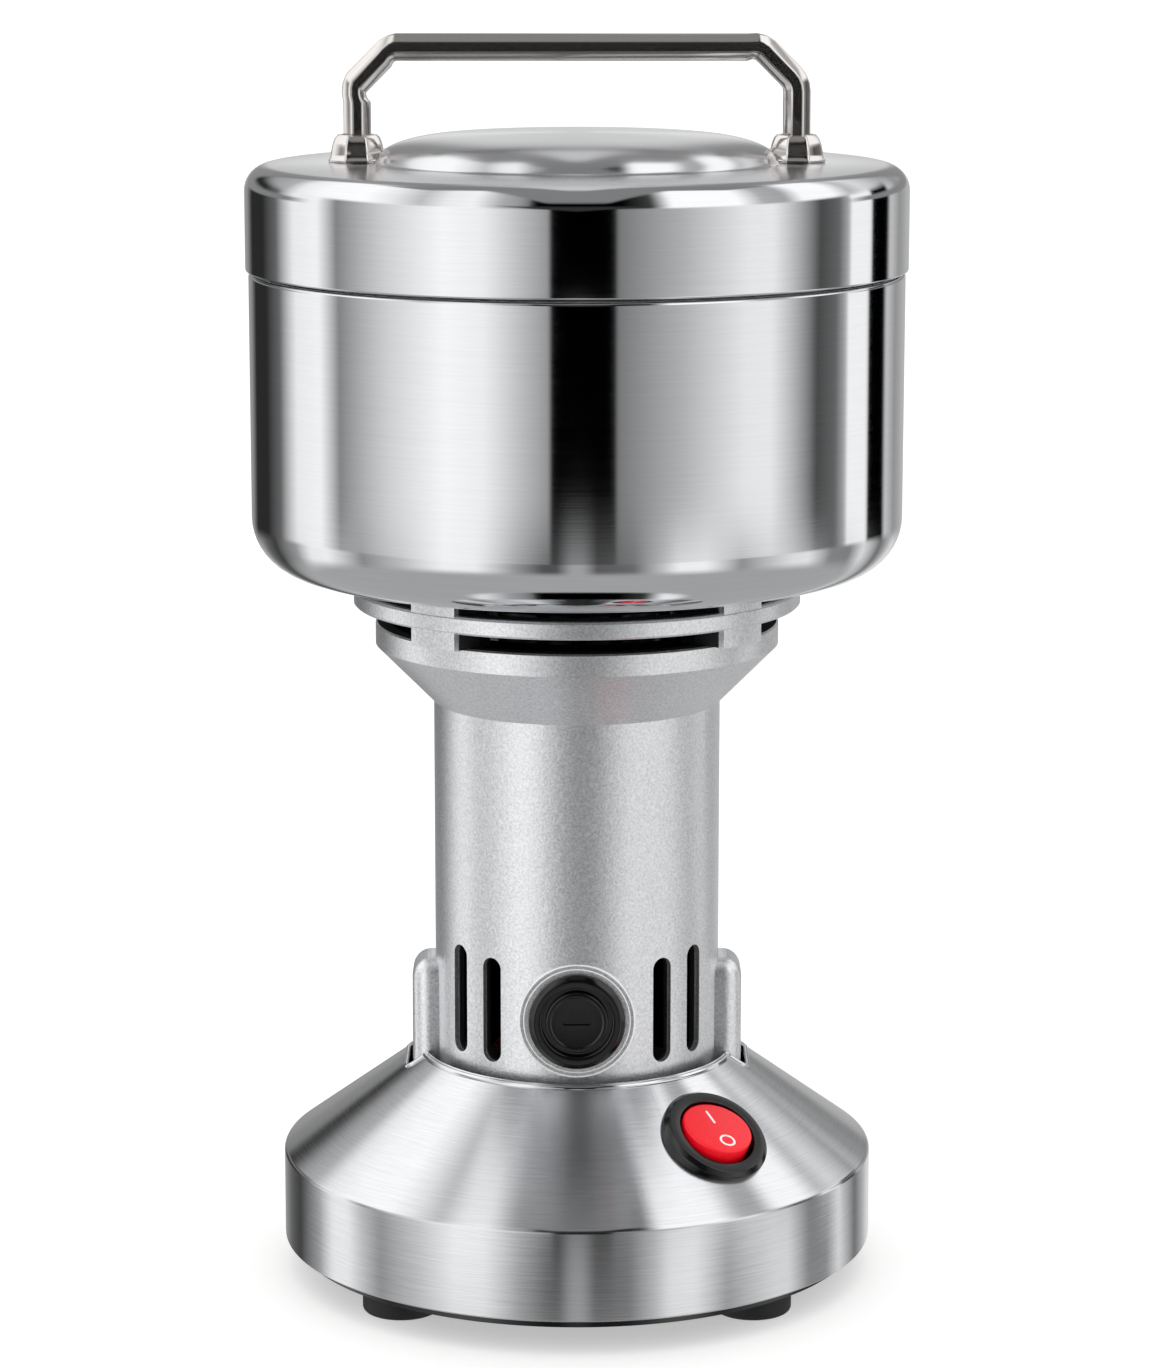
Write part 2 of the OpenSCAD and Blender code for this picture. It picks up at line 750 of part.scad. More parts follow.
module housing_body() {
    rotate_extrude() polygon([
        [column_r, column_bottom_z], [column_r, column_top_z], [rim_r, cone_top_z],
        [rim_r, rim_top_z - edge], [rim_r - edge, rim_top_z], [rim_in_r, rim_top_z],
        [rim_in_r, cone_top_z], [column_in_r, column_top_z], [column_in_r, column_bottom_z]
    ]);
    translate([0, 0, ring_z]) rotate_extrude() polygon([
        [ring_r - ring_w, 0], [ring_r - edge, 0], [ring_r, edge], [ring_r, ring_h - edge],
        [ring_r - edge, ring_h], [ring_r - ring_w, ring_h]
    ]);
    for (angle = post_angles) {
        facing(angle) intersection() {
            translate([-post_w / 2, -ring_r, rim_top_z])
                cube([post_w, ring_r - post_in_r + over, bowl_z - rim_top_z]);
            translate([0, 0, rim_top_z]) tube(ring_r - side_gap, post_in_r, bowl_z - rim_top_z);
        }
        translate([0, 0, rim_top_z - over])
            sector(ledge_in_r, rim_r - edge, ledge_top_z - rim_top_z + over, ledge_half_angle, angle);
    }
    for (side = [0, 180]) {
        rotate([0, 0, side]) ear();
        facing(side) front_rod(brush_boss_r, brush_boss_in_y, brush_boss_y, brush_z);
        translate([0, 0, stack_z - stator_ledge_h])
            sector(stator_ledge_in_r, column_in_r + over, stator_ledge_h, stator_ledge_half_angle,
                90 + side);
    }
    for (angle = pad_angles)
        translate([0, 0, pad_z]) sector(pad_in_r, column_in_r + over, pad_h, pad_half_angle, angle);
}

module motor_housing() {
    color("#b9bbbf") difference() {
        union() {
            housing_body();
            for (side = [0, 180]) rotate([0, 0, side]) inner_pillar();
        }
        housing_holes();
    }
}

module housing_holes() {
    for (i = [0, 1])
        for (hand = [-1, 1])
            facing(hand * vent_angles[i]) vent(vent_feet[i], vent_tops[i]);
    for (side = [0, 180])
        facing(side) {
            front_rod(holder_r + fit_gap, brush_boss_in_y - over, brush_boss_y + over, brush_z);
            translate([stator_screw_x, 0, stack_z - stator_screw_grip - over])
                cylinder(r = small_screw_r + fit_gap, h = stator_screw_grip + 2 * over);
        }
    at_pillars() translate([0, 0, pillar_z - over])
        cylinder(r = small_screw_r + fit_gap, h = pillar_hole_h + over);
    for (angle = pad_angles)
        facing(angle) translate([0, -pad_screw_r, pad_z - over])
            cylinder(r = small_screw_r + fit_gap, h = pad_h);
    for (angle = post_angles)
        facing(angle) {
            translate([0, -bowl_screw_r, bowl_z - bowl_screw_grip - over])
                cylinder(r = small_screw_r + fit_gap, h = bowl_screw_grip + 2 * over);
            translate([0, -upper_bracket_screw_x, ledge_top_z - ledge_grip])
                cylinder(r = small_screw_r + fit_gap, h = ledge_grip + over);
        }
}

// A bearing's outer race with its ball groove
module outer_race(outer_r, inner_r, h, ball_r) {
    wall = (outer_r - inner_r) * race_share;
    pitch_r = (outer_r + inner_r) / 2;
    rotate_extrude() difference() {
        translate([outer_r - wall, 0]) square([wall, h]);
        translate([pitch_r, h / 2]) circle(r = ball_r + easy_gap, $fn = 48);
    }
}

// A bearing's inner race with its ball groove
module inner_race(outer_r, inner_r, h, ball_r) {
    wall = (outer_r - inner_r) * race_share;
    pitch_r = (outer_r + inner_r) / 2;
    rotate_extrude() difference() {
        translate([inner_r, 0]) square([wall, h]);
        translate([pitch_r, h / 2]) circle(r = ball_r + easy_gap, $fn = 48);
    }
}

// The ring of balls of a bearing
module ball_ring(outer_r, inner_r, h, ball_r) {
    pitch_r = (outer_r + inner_r) / 2;
    count = floor(360 / (2 * asin(ball_r * ball_space_share / pitch_r)));
    for (i = [0 : count - 1])
        rotate([0, 0, i * 360 / count]) translate([pitch_r, 0, h / 2]) sphere(r = ball_r, $fn = 32);
}

module lower_bearing_bracket() {
    hub_r = lower_bearing_r + hub_wall;
    color("#a9acb0") difference() {
        union() {
            translate([0, 0, lower_bracket_z]) cylinder(r = column_in_r - side_gap, h = bracket_t);
            translate([0, 0, lower_bracket_z]) cylinder(r = hub_r, h = bearing_lip_t + lower_bearing_h);
        }
        translate([0, 0, lower_bearing_z])
            cylinder(r = lower_bearing_r + fit_gap, h = lower_bearing_h + over);
        translate([0, 0, lower_bracket_z - over])
            cylinder(r = lower_bearing_r - bearing_lip_w, h = lower_bearing_h);
        for (angle = pad_angles) {
            facing(angle) translate([0, -pad_screw_r, lower_bracket_z - over])
                cylinder(r = small_screw_r + easy_gap, h = bracket_t + 2 * over);
            facing(angle + 45) translate([0, -bracket_window_x, lower_bracket_z - over])
                cylinder(r = bracket_window_r, h = bracket_t + 2 * over);
        }
    }
}

module lower_bracket_screws() {
    color("#c4c6c8") for (angle = pad_angles)
        facing(angle) translate([0, -pad_screw_r, lower_bracket_z])
            rotate([180, 0, 0])
                screw(small_head_r, small_head_h, small_screw_r, bracket_t + pad_h - 2 * over);
}

module lower_bearing_outer_race() {
    color("#d8dadc") translate([0, 0, lower_bearing_z])
        outer_race(lower_bearing_r, shaft_end_r + fit_gap, lower_bearing_h, lower_ball_r);
}

module lower_bearing_balls() {
    color("#e6e7e8") translate([0, 0, lower_bearing_z])
        ball_ring(lower_bearing_r, shaft_end_r + fit_gap, lower_bearing_h, lower_ball_r);
}

module lower_bearing_inner_race() {
    color("#d8dadc") translate([0, 0, lower_bearing_z])
        inner_race(lower_bearing_r, shaft_end_r + fit_gap, lower_bearing_h, lower_ball_r);
}

module stator_core() {
    color("#7d7f83") difference() {
        translate([0, 0, stack_z]) intersection() {
            cylinder(r = stator_r, h = stack_h);
            translate([-stator_r, -stator_flat / 2, 0]) cube([2 * stator_r, stator_flat, stack_h]);
        }
        translate([0, 0, stack_z - over]) cylinder(r = stator_bore_r, h = stack_h + 2 * over);
        for (side = [90, 270]) {
            translate([0, 0, stack_z - over])
                sector(stator_bore_r - over, window_r, stack_h + 2 * over, window_half_angle, side);
            facing(side) translate([0, -stator_screw_x, stack_z - over])
                cylinder(r = small_screw_r + fit_gap, h = stack_h + 2 * over);
        }
    }
}

module field_coils() {
    coil_half_angle = coil_leg_angle + coil_leg_half_angle;
    color("#a8542b") for (side = [0, 180])
        difference() {
            translate([0, 0, stack_z - coil_end_h])
                sector(coil_in_r, coil_out_r, stack_h + 2 * coil_end_h, coil_half_angle, side);
            translate([0, 0, stack_z - easy_gap])
                sector(coil_in_r - over, coil_out_r + over, stack_h + 2 * easy_gap,
                    coil_half_angle - 2 * coil_leg_half_angle, side);
        }
}

module stator_screws() {
    color("#c4c6c8") for (side = [90, 270])
        facing(side) translate([0, -stator_screw_x, stack_top_z])
            screw(stator_head_r, small_head_h, small_screw_r, stack_h + stator_screw_grip - over);
}

module brush_holder() {
    recess_r = cap_r + cap_groove;
    color("#1a1a1b") difference() {
        union() {
            front_rod(holder_r, holder_tip_y, holder_face_y, brush_z);
            translate([0, -brush_boss_y, brush_z]) rotate([90, 0, 0]) rotate_extrude() polygon([
                [0, 0], [holder_flange_r, 0], [holder_flange_r, holder_flange_t - moulding_edge],
                [holder_flange_r - moulding_edge, holder_flange_t], [0, holder_flange_t]
            ]);
        }
        translate([-brush_w / 2 - channel_gap, -cap_stem_y - over, brush_z - brush_h / 2 - channel_gap])
            cube([brush_w + 2 * channel_gap, cap_stem_y, brush_h + 2 * channel_gap]);
        front_rod(cap_stem_r + fit_gap, cap_stem_y - fit_gap, holder_face_y + over, brush_z);
        front_rod(recess_r, holder_face_y - cap_head_t, holder_face_y + over, brush_z);
    }
}

module brush_cap() {
    color("#151516") difference() {
        union() {
            front_rod(cap_stem_r, cap_stem_y, holder_face_y - over, brush_z);
            front_rod(cap_r, holder_face_y - cap_head_t, holder_face_y, brush_z);
        }
        translate([-cap_slot_l / 2, -holder_face_y - over, brush_z - cap_slot_w / 2])
            cube([cap_slot_l, cap_head_t / 2 + over, cap_slot_w]);
    }
}

module front_brush_holder() {
    brush_holder();
}

module rear_brush_holder() {
    facing(180) brush_holder();
}

module front_brush_cap() {
    brush_cap();
}

module rear_brush_cap() {
    facing(180) brush_cap();
}

module carbon_brushes() {
    color("#38393b") for (side = [0, 180])
        facing(side) difference() {
            translate([-brush_w / 2, -brush_back_y, brush_z - brush_h / 2])
                cube([brush_w, brush_l + side_gap + over, brush_h]);
            translate([0, 0, brush_z - brush_h]) cylinder(r = commutator_r + side_gap, h = 2 * brush_h);
        }
}

// A coil spring that stands on zero
module coil_spring(r, wire, h, turns) {
    sides = 6;
    steps = turns * 12;
    points = [
        for (i = [0 : steps])
            for (j = [0 : sides - 1])
                let (a = i * 30, b = j * 360 / sides, reach = r + wire * cos(b))
                [reach * cos(a), reach * sin(a), wire + (h - 2 * wire) * i / steps + wire * sin(b)]
    ];
    walls = [
        for (i = [0 : steps - 1])
            for (j = [0 : sides - 1])
                let (k = (j + 1) % sides, p = i * sides)
                each [[p + j, p + sides + j, p + k], [p + k, p + sides + j, p + sides + k]]
    ];
    first = [for (j = [1 : sides - 2]) [0, j, j + 1]];
    last = [for (j = [1 : sides - 2]) [steps * sides, steps * sides + j + 1, steps * sides + j]];
    polyhedron(points = points, faces = concat(walls, first, last));
}

module brush_springs() {
    color("#caa64b") for (side = [0, 180])
        facing(side) translate([0, -brush_back_y - side_gap, brush_z])
            rotate([90, 0, 0])
                coil_spring(spring_r, spring_wire_r, cap_stem_y - brush_back_y - 2 * side_gap, spring_turns);
}

module upper_bearing_bracket() {
    hub_r = upper_bearing_r + hub_wall;
    hub_z = upper_bearing_z - bearing_lip_t;
    color("#2a2a2c") difference() {
        union() {
            translate([0, 0, ledge_top_z]) cylinder(r = upper_bracket_r, h = upper_bracket_t);
            translate([0, 0, hub_z]) cylinder(r = hub_r, h = bracket_top_z - hub_z);
        }
        translate([0, 0, upper_bearing_z])
            cylinder(r = upper_bearing_r + fit_gap, h = upper_bearing_h + over);
        translate([0, 0, hub_z - over]) cylinder(r = upper_bearing_r - bearing_lip_w, h = upper_bearing_h);
        for (angle = post_angles)
            facing(angle) translate([0, -upper_bracket_screw_x, 0]) {
                translate([0, 0, ledge_top_z - over])
                    cylinder(r = small_screw_r + easy_gap, h = upper_bracket_t + 2 * over);
                translate([0, 0, bracket_top_z - counterbore_h])
                    cylinder(r = small_head_r + easy_gap, h = counterbore_h + over);
            }
    }
}

module upper_bracket_screws() {
    color("#c4c6c8") for (angle = post_angles)
        facing(angle) translate([0, -upper_bracket_screw_x, bracket_top_z - counterbore_h])
            screw(small_head_r, counterbore_h - fit_gap, small_screw_r,
                upper_bracket_t - counterbore_h + ledge_grip - over);
}

module upper_bearing_outer_race() {
    color("#d8dadc") translate([0, 0, upper_bearing_z])
        outer_race(upper_bearing_r, shaft_r + fit_gap, upper_bearing_h, upper_ball_r);
}

module upper_bearing_balls() {
    color("#e6e7e8") translate([0, 0, upper_bearing_z])
        ball_ring(upper_bearing_r, shaft_r + fit_gap, upper_bearing_h, upper_ball_r);
}

module upper_bearing_inner_race() {
    color("#d8dadc") translate([0, 0, upper_bearing_z])
        inner_race(upper_bearing_r, shaft_r + fit_gap, upper_bearing_h, upper_ball_r);
}

module motor_shaft() {
    color("#cfd1d3") {
        translate([0, 0, shaft_foot_z])
            cylinder(r = shaft_end_r, h = nut_z + nut_thread_h - shaft_foot_z - fit_gap);
        translate([0, 0, shaft_step_z]) cylinder(r = shaft_r, h = blade_seat_z - shaft_step_z);
    }
}

module armature_core() {
    color("#8a8c90") difference() {
        translate([0, 0, stack_z]) cylinder(r = core_r, h = stack_h);
        translate([0, 0, stack_z - over]) cylinder(r = shaft_r + fit_gap, h = stack_h + 2 * over);
        for (i = [0 : slot_count - 1])
            rotate([0, 0, i * 360 / slot_count]) {
                translate([slot_ring_r, 0, stack_z - over])
                    cylinder(r = slot_r, h = stack_h + 2 * over, $fn = 24);
                translate([slot_ring_r, -slot_mouth_w / 2, stack_z - over])
                    cube([core_r, slot_mouth_w, stack_h + 2 * over]);
            }
    }
}

module armature_windings() {
    foot_z = stack_z - winding_gap - winding_foot_h;
    top_z = stack_top_z + winding_gap;
    bar_r = slot_r - side_gap;
    color("#b5602f") {
        translate([0, 0, foot_z]) tube(winding_r, shaft_r + easy_gap, winding_foot_h);
        translate([0, 0, top_z]) tube(winding_r, shaft_r + easy_gap, winding_top_h);
        for (i = [0 : slot_count - 1])
            rotate([0, 0, i * 360 / slot_count])
                translate([slot_ring_r, 0, foot_z + over])
                    cylinder(r = bar_r, h = top_z - foot_z, $fn = 24);
    }
}

module commutator() {
    color("#c27a45") difference() {
        union() {
            translate([0, 0, commutator_z]) cylinder(r = commutator_r, h = commutator_h);
            translate([0, 0, commutator_z + commutator_h - riser_h])
                cylinder(r = commutator_r + riser_w, h = riser_h);
        }
        translate([0, 0, commutator_z - over]) cylinder(r = shaft_r + fit_gap, h = commutator_h + 2 * over);
        for (i = [0 : bar_count - 1])
            rotate([0, 0, i * 360 / bar_count])
                translate([commutator_r - bar_cut_d, -bar_cut_w / 2, commutator_z - over])
                    cube([commutator_r, bar_cut_w, commutator_h + 2 * over]);
    }
}

module cooling_fan() {
    color("#3b3d40") difference() {
        union() {
            translate([0, 0, fan_z]) cylinder(r = fan_hub_r, h = fan_h);
            translate([0, 0, fan_top_z - fan_disc_t]) cylinder(r = fan_r, h = fan_disc_t);
            for (i = [0 : fan_blade_count - 1])
                rotate([0, 0, i * 360 / fan_blade_count])
                    translate([fan_blade_in_r, -fan_blade_t / 2, fan_z])
                        cube([fan_r - fan_blade_in_r - over, fan_blade_t, fan_h - fan_disc_t / 2]);
        }
        translate([0, 0, fan_z - over]) cylinder(r = shaft_r + fit_gap, h = fan_h + 2 * over);
    }
}

// Half section of the bowl, drawn out from its hole
module bowl_section() {
    corner_c = [bowl_r - bowl_corner_r, bowl_z + bowl_corner_r];
    bead_c = [bowl_r - bead_r, shoulder_z - bead_r];
    polygon(concat(
        [[bowl_hole_r, bowl_z]],
        arc(corner_c, bowl_corner_r, -90, 0, 12),
        arc(bead_c, bead_r, 0, 90, 6),
        [[neck_r, shoulder_z], [neck_r, neck_top_z], [neck_r - bowl_t, neck_top_z],
         [neck_r - bowl_t, shoulder_z - bowl_t], [bowl_r - bowl_t, shoulder_z - bowl_t]],
        arc(corner_c, bowl_corner_r - bowl_t, 0, -90, 12),
        [[bowl_hole_r, bowl_floor_z]]
    ));
}

module bowl() {
    color("#cdced0") difference() {
        union() {
            rotate_extrude() bowl_section();
            for (angle = lug_angles)
                translate([0, 0, neck_top_z - lug_top_gap - lug_h])
                    sector(neck_r - bowl_t / 2, neck_r + lug_d, lug_h, lug_half_angle, angle);
        }
        for (angle = post_angles)
            facing(angle) translate([0, -bowl_screw_r, bowl_z - over])
                cylinder(r = small_screw_r + easy_gap, h = bowl_t + 2 * over);
    }
}

module bowl_screws() {
    color("#cfd1d3") for (angle = post_angles)
        facing(angle) translate([0, -bowl_screw_r, bowl_floor_z])
            screw(small_head_r, small_head_h, small_screw_r, bowl_t + bowl_screw_grip - over);
}

module shaft_seal() {
    seal_foot_z = bracket_top_z + seat_gap;
    color("#29292b") difference() {
        union() {
            translate([0, 0, bowl_floor_z])
                cylinder(r1 = seal_flange_r, r2 = seal_flange_r - edge, h = seal_flange_t);
            translate([0, 0, seal_foot_z])
                cylinder(r = bowl_hole_r - fit_gap, h = seal_top_z - seal_foot_z - over);
        }
        translate([0, 0, seal_foot_z - over])
            cylinder(r = shaft_r + seal_bore_gap, h = seal_top_z - seal_foot_z + 2 * over);
    }
}

module blade_spacers() {
    bore_r = shaft_end_r + fit_gap;
    color("#c4c6c8") {
        translate([0, 0, blade_seat_z]) tube(spacer_r, bore_r, lower_spacer_h);
        translate([0, 0, lower_blade_z + blade_t]) tube(spacer_r, bore_r, middle_spacer_h);
        translate([0, 0, washer_z]) tube(spacer_r, bore_r, washer_t);
    }
}

// A blade along X: its side view bends up and down, its plan narrows to the tips
module blade(reach, rises) {
    line = [for (i = [0 : 3]) [reach * blade_bend_shares[i], rises[i]]];
    top = concat([for (p = reversed(line)) [-p[0], p[1]]], line);
    side = concat(top, [for (p = reversed(top)) [p[0], p[1] + blade_t]]);
    low = min(rises);
    high = max(rises) + blade_t;
    tip_w = blade_w * blade_tip_w_share;
    difference() {
        intersection() {
            translate([0, blade_w, 0]) rotate([90, 0, 0]) linear_extrude(height = 2 * blade_w) polygon(side);
            translate([0, 0, low - over]) linear_extrude(height = high - low + 2 * over) polygon([
                [-reach, -tip_w / 2], [-reach, 0], [-reach / 2, blade_w / 2], [spacer_r, blade_w / 2],
                [reach, tip_w / 2], [reach, 0], [reach / 2, -blade_w / 2], [-spacer_r, -blade_w / 2]
            ]);
        }
        translate([0, 0, low - over]) cylinder(r = shaft_end_r + fit_gap, h = high - low + 2 * over);
    }
}

module lower_blade() {
    color("#d3d5d7") translate([0, 0, lower_blade_z])
        rotate([0, 0, 30]) blade(lower_blade_reach, lower_blade_rises);
}

module upper_blade() {
    color("#d3d5d7") translate([0, 0, upper_blade_z])
        rotate([0, 0, 120]) blade(upper_blade_reach, upper_blade_rises);
}

module blade_nut() {
    color("#cfd1d3") translate([0, 0, nut_z]) difference() {
        union() {
            cylinder(r = nut_r, h = nut_h, $fn = 6);
            intersection() {
                translate([0, 0, nut_h - over]) sphere(r = nut_dome_r, $fn = 48);
                cylinder(r = nut_dome_r + over, h = nut_h + nut_dome_r);
            }
        }
        translate([0, 0, -over]) cylinder(r = shaft_end_r + fit_gap, h = nut_thread_h + over);
    }
}

// The switch's own frame: Z out of the cone, Y up the slope, zero on the cone's face
module at_switch() {
    facing(switch_angle) translate([0, -switch_r, switch_z])
        rotate([cone_slope, 0, 0]) rotate([0, 0, switch_twist]) children();
}

// The rocker's pivot, in the switch's frame
module at_pivot() {
    at_switch() translate([0, 0, bezel_h - pivot_depth]) children();
}

module switch_housing() {
    color("#232324") {
        at_switch() difference() {
            union() {
                rotate_extrude() polygon([
                    [0, 0], [bezel_r, 0], [bezel_r, bezel_h - moulding_edge],
                    [bezel_r - moulding_edge, bezel_h], [0, bezel_h]
                ]);
                translate([0, 0, -switch_depth]) cylinder(r = switch_body_r, h = switch_depth + over);
            }
            translate([0, 0, switch_wall - switch_depth])
                cylinder(r = bezel_in_r, h = switch_depth + bezel_h);
            translate([-pin_reach - side_gap, 0, bezel_h - pivot_depth])
                rotate([0, 90, 0])
                    cylinder(r = pivot_r + pivot_gap, h = 2 * (pin_reach + side_gap), $fn = 32);
        }
    }
}

module switch_terminals() {
    color("#c9a24a") at_switch() for (y = [-tab_y, tab_y])
        translate([-tab_w / 2, y - tab_t / 2, -switch_depth - tab_l]) cube([tab_w, tab_t, tab_l]);
}

module rocker_button() {
    color("#e0192b") at_pivot() rotate([-rocker_tilt, 0, 0]) {
        rotate_extrude() polygon([
            [0, -rocker_skirt_h], [rocker_r, -rocker_skirt_h], [rocker_r, rocker_face_h - rocker_edge],
            [rocker_r - rocker_edge, rocker_face_h], [0, rocker_face_h]
        ]);
        translate([0, 0, -rocker_stem_h]) cylinder(r = rocker_stem_r, h = rocker_stem_h);
        translate([-pin_reach, 0, 0]) rotate([0, 90, 0]) cylinder(r = pivot_r, h = 2 * pin_reach, $fn = 32);
    }
}

module terminal_block() {
    color("#e8e6df") difference() {
        translate([block_place[0], block_place[1], floor_z]) cube(block_size);
        for (share = block_screw_shares)
            translate([block_place[0] + block_size[0] * share, block_place[1] + block_size[1] / 2, floor_z])
                translate([0, 0, block_size[2] / 2])
                    cylinder(r = block_screw_r + fit_gap, h = block_size[2]);
    }
}

module terminal_screws() {
    color("#c9a24a") for (share = block_screw_shares)
        translate([block_place[0] + block_size[0] * share, block_place[1] + block_size[1] / 2, block_top_z])
            screw(block_screw_head_r, small_head_h / 2, block_screw_r, block_size[2] / 2 - fit_gap);
}

module suppression_capacitor() {
    color("#d9a62e") translate([capacitor_place[0], capacitor_place[1], floor_z]) cube(capacitor_size);
}

// A wire along a route: one ring of points at each bend, in the plane that halves it
module wire(route) {
    sides = 8;
    last = len(route) - 1;
    unit = function(v) v / norm(v);
    run = function(i) unit(route[min(i + 1, last)] - route[min(i, last - 1)]);
    points = [
        for (i = [0 : last])
            let (
                into = run(max(i - 1, 0)),
                out = run(i),
                along = unit(into + out),
                across = unit(cross(along, wire_side)),
                beside = cross(along, across)
            )
            for (j = [0 : sides - 1])
                let (a = j * 360 / sides)
                route[i] + wire_r * (cos(a) * across + sin(a) * beside)
    ];
    walls = [
        for (i = [0 : last - 1])
            for (j = [0 : sides - 1])
                let (k = (j + 1) % sides, p = i * sides)
                each [[p + j, p + k, p + sides + j], [p + k, p + sides + k, p + sides + j]]
    ];
    start = [for (j = [1 : sides - 2]) [0, j + 1, j]];
    end = [for (j = [1 : sides - 2]) [last * sides, last * sides + j, last * sides + j + 1]];
    polyhedron(points = points, faces = concat(walls, start, end));
}

module inner_wiring() {
    color("#9c2f26") {
        wire(live_route);
        wire(switched_route);
        wire(neutral_route);
    }
}

module lid_seal() {
    seal_r = neck_r - bowl_t / 2 + seal_w / 2;
    color("#e9e7e2") translate([0, 0, seal_z]) tube(seal_r, seal_r - seal_w, seal_h);
}

// The lid's top line from its corner to the middle
function lid_top_line(drop) =
    let (flat_z = lid_top_z - drop, crown_z = flat_z + panel_rise)
    concat(
        [[top_fall_r, flat_z], [panel_out_r, flat_z]],
        [for (i = [1 : panel_steps])
            let (a = i * 90 / panel_steps)
            [panel_in_r + panel_shoulder_w * cos(a), flat_z + panel_rise * sin(a)]],
        [[panel_in_r / 2, crown_z + panel_dome_h * panel_middle_share], [0, crown_z + panel_dome_h]]
    );

// The room that the lid's raised middle takes from what stands beside it
module lid_middle() {
    line = [for (point = lid_top_line(-fit_gap)) if (point[0] <= panel_out_r) point];
    rotate_extrude()
        polygon(concat([[0, lid_top_z - over], [panel_out_r, lid_top_z - over]], line));
}

module lid_section() {
    corner_c = [lid_r - lid_corner_r, lid_top_z - top_fall_h - lid_corner_r];
    hem_c = [lid_r - lid_hem_r, lid_z + lid_hem_r];
    polygon(concat(
        [[lid_in_r, lid_z]],
        arc(hem_c, lid_hem_r, -90, 0, 4),
        arc(corner_c, lid_corner_r, 0, 90, 12),
        lid_top_line(0),
        reversed(lid_top_line(lid_t)),
        arc(corner_c, lid_corner_r - lid_t, 90, 0, 12)
    ));
}

module lid_shell() {
    color("#cdced0") difference() {
        rotate_extrude() lid_section();
        for (x = [-leg_x, leg_x])
            translate([x, 0, liner_disc_top_z]) cylinder(r = big_screw_r + easy_gap, h = lid_h);
    }
}

module lid_liner() {
    boss_h = lid_top_z - lid_t - fit_gap - liner_disc_top_z;
    color("#dcdcd8") difference() {
        union() {
            translate([0, 0, liner_foot_z])
                tube(liner_r, liner_in_r, liner_disc_z - liner_foot_z + liner_t / 2);
            translate([0, 0, liner_disc_z]) cylinder(r = liner_r, h = liner_t);
            for (x = [-leg_x, leg_x])
                translate([x, 0, liner_disc_z]) cylinder(r = liner_boss_r, h = liner_t + boss_h);
            for (angle = lug_angles)
                translate([0, 0, liner_lug_top_z - liner_lug_h])
                    sector(neck_r + easy_gap, liner_in_r + over, liner_lug_h, lug_half_angle,
                        angle + lid_turn);
        }
        for (x = [-leg_x, leg_x])
            translate([x, 0, liner_disc_z - over])
                cylinder(r = big_screw_r + easy_gap, h = liner_t + boss_h + 2 * over);
    }
}

// The rings of the handle's octagonal bar, from its right foot to its left one: the middle of
// the bend that each ring belongs to, and its direction from there
function bar_rings() =
    let (
        leg_c = leg_x - bend_r,
        leg_top_z = bar_z - handle_corner - bend_run,
        top_c = leg_x - handle_corner - bend_run,
        top_c_z = bar_z - bend_r
    )
    concat(
        [[leg_c, lid_top_z, 0]],
        [for (a = [0 : 15 : 45]) [leg_c, leg_top_z, a]],
        [for (a = [45 : 15 : 90]) [top_c, top_c_z, a]],
        [for (a = [90 : 15 : 135]) [-top_c, top_c_z, a]],
        [for (a = [135 : 15 : 180]) [-leg_c, leg_top_z, a]],
        [[-leg_c, lid_top_z, 180]]
    );

// The whole bar, eight flat sides between the rings
module octagonal_bar() {
    rings = bar_rings();
    last = len(rings) - 1;
    points = [
        for (ring = rings)
            for (j = [0 : 7])
                let (
                    reach = bend_r + bar_circle_r * cos(22.5 + 45 * j),
                    aside = bar_circle_r * sin(22.5 + 45 * j)
                )
                [ring[0] + reach * cos(ring[2]), aside, ring[1] + reach * sin(ring[2])]
    ];
    walls = [
        for (i = [0 : last - 1])
            for (j = [0 : 7])
                let (k = (j + 1) % 8)
                [8 * i + j, 8 * i + k, 8 * i + 8 + k, 8 * i + 8 + j]
    ];
    polyhedron(points = points, faces = concat(
        walls, [[for (j = [7 : -1 : 0]) j]], [[for (j = [0 : 7]) 8 * last + j]]
    ));
}

module lid_handle() {
    color("#c2c3c5") difference() {
        octagonal_bar();
        for (x = [-leg_x, leg_x])
            translate([x, 0, lid_top_z - over])
                cylinder(r = handle_screw_r + fit_gap, h = handle_screw_grip + over);
    }
}

module handle_ferrules() {
    color("#c8c9cb") difference() {
        for (x = [-leg_x, leg_x])
            translate([x, 0, lid_top_z + fit_gap]) difference() {
                rotate([0, 0, 22.5])
                    cylinder(r1 = ferrule_r, r2 = ferrule_top_r, h = ferrule_h, $fn = 8);
                translate([0, 0, -over])
                    cylinder(r = bar_circle_r + ferrule_gap, h = ferrule_h + 2 * over, $fn = 32);
            }
        lid_middle();
    }
}

module handle_screws() {
    grip = lid_top_z - liner_disc_z + handle_screw_grip - over;
    color("#c4c6c8") for (x = [-leg_x, leg_x])
        translate([x, 0, liner_disc_z])
            rotate([180, 0, 0]) screw(big_head_r, big_head_h, handle_screw_r, grip);
}

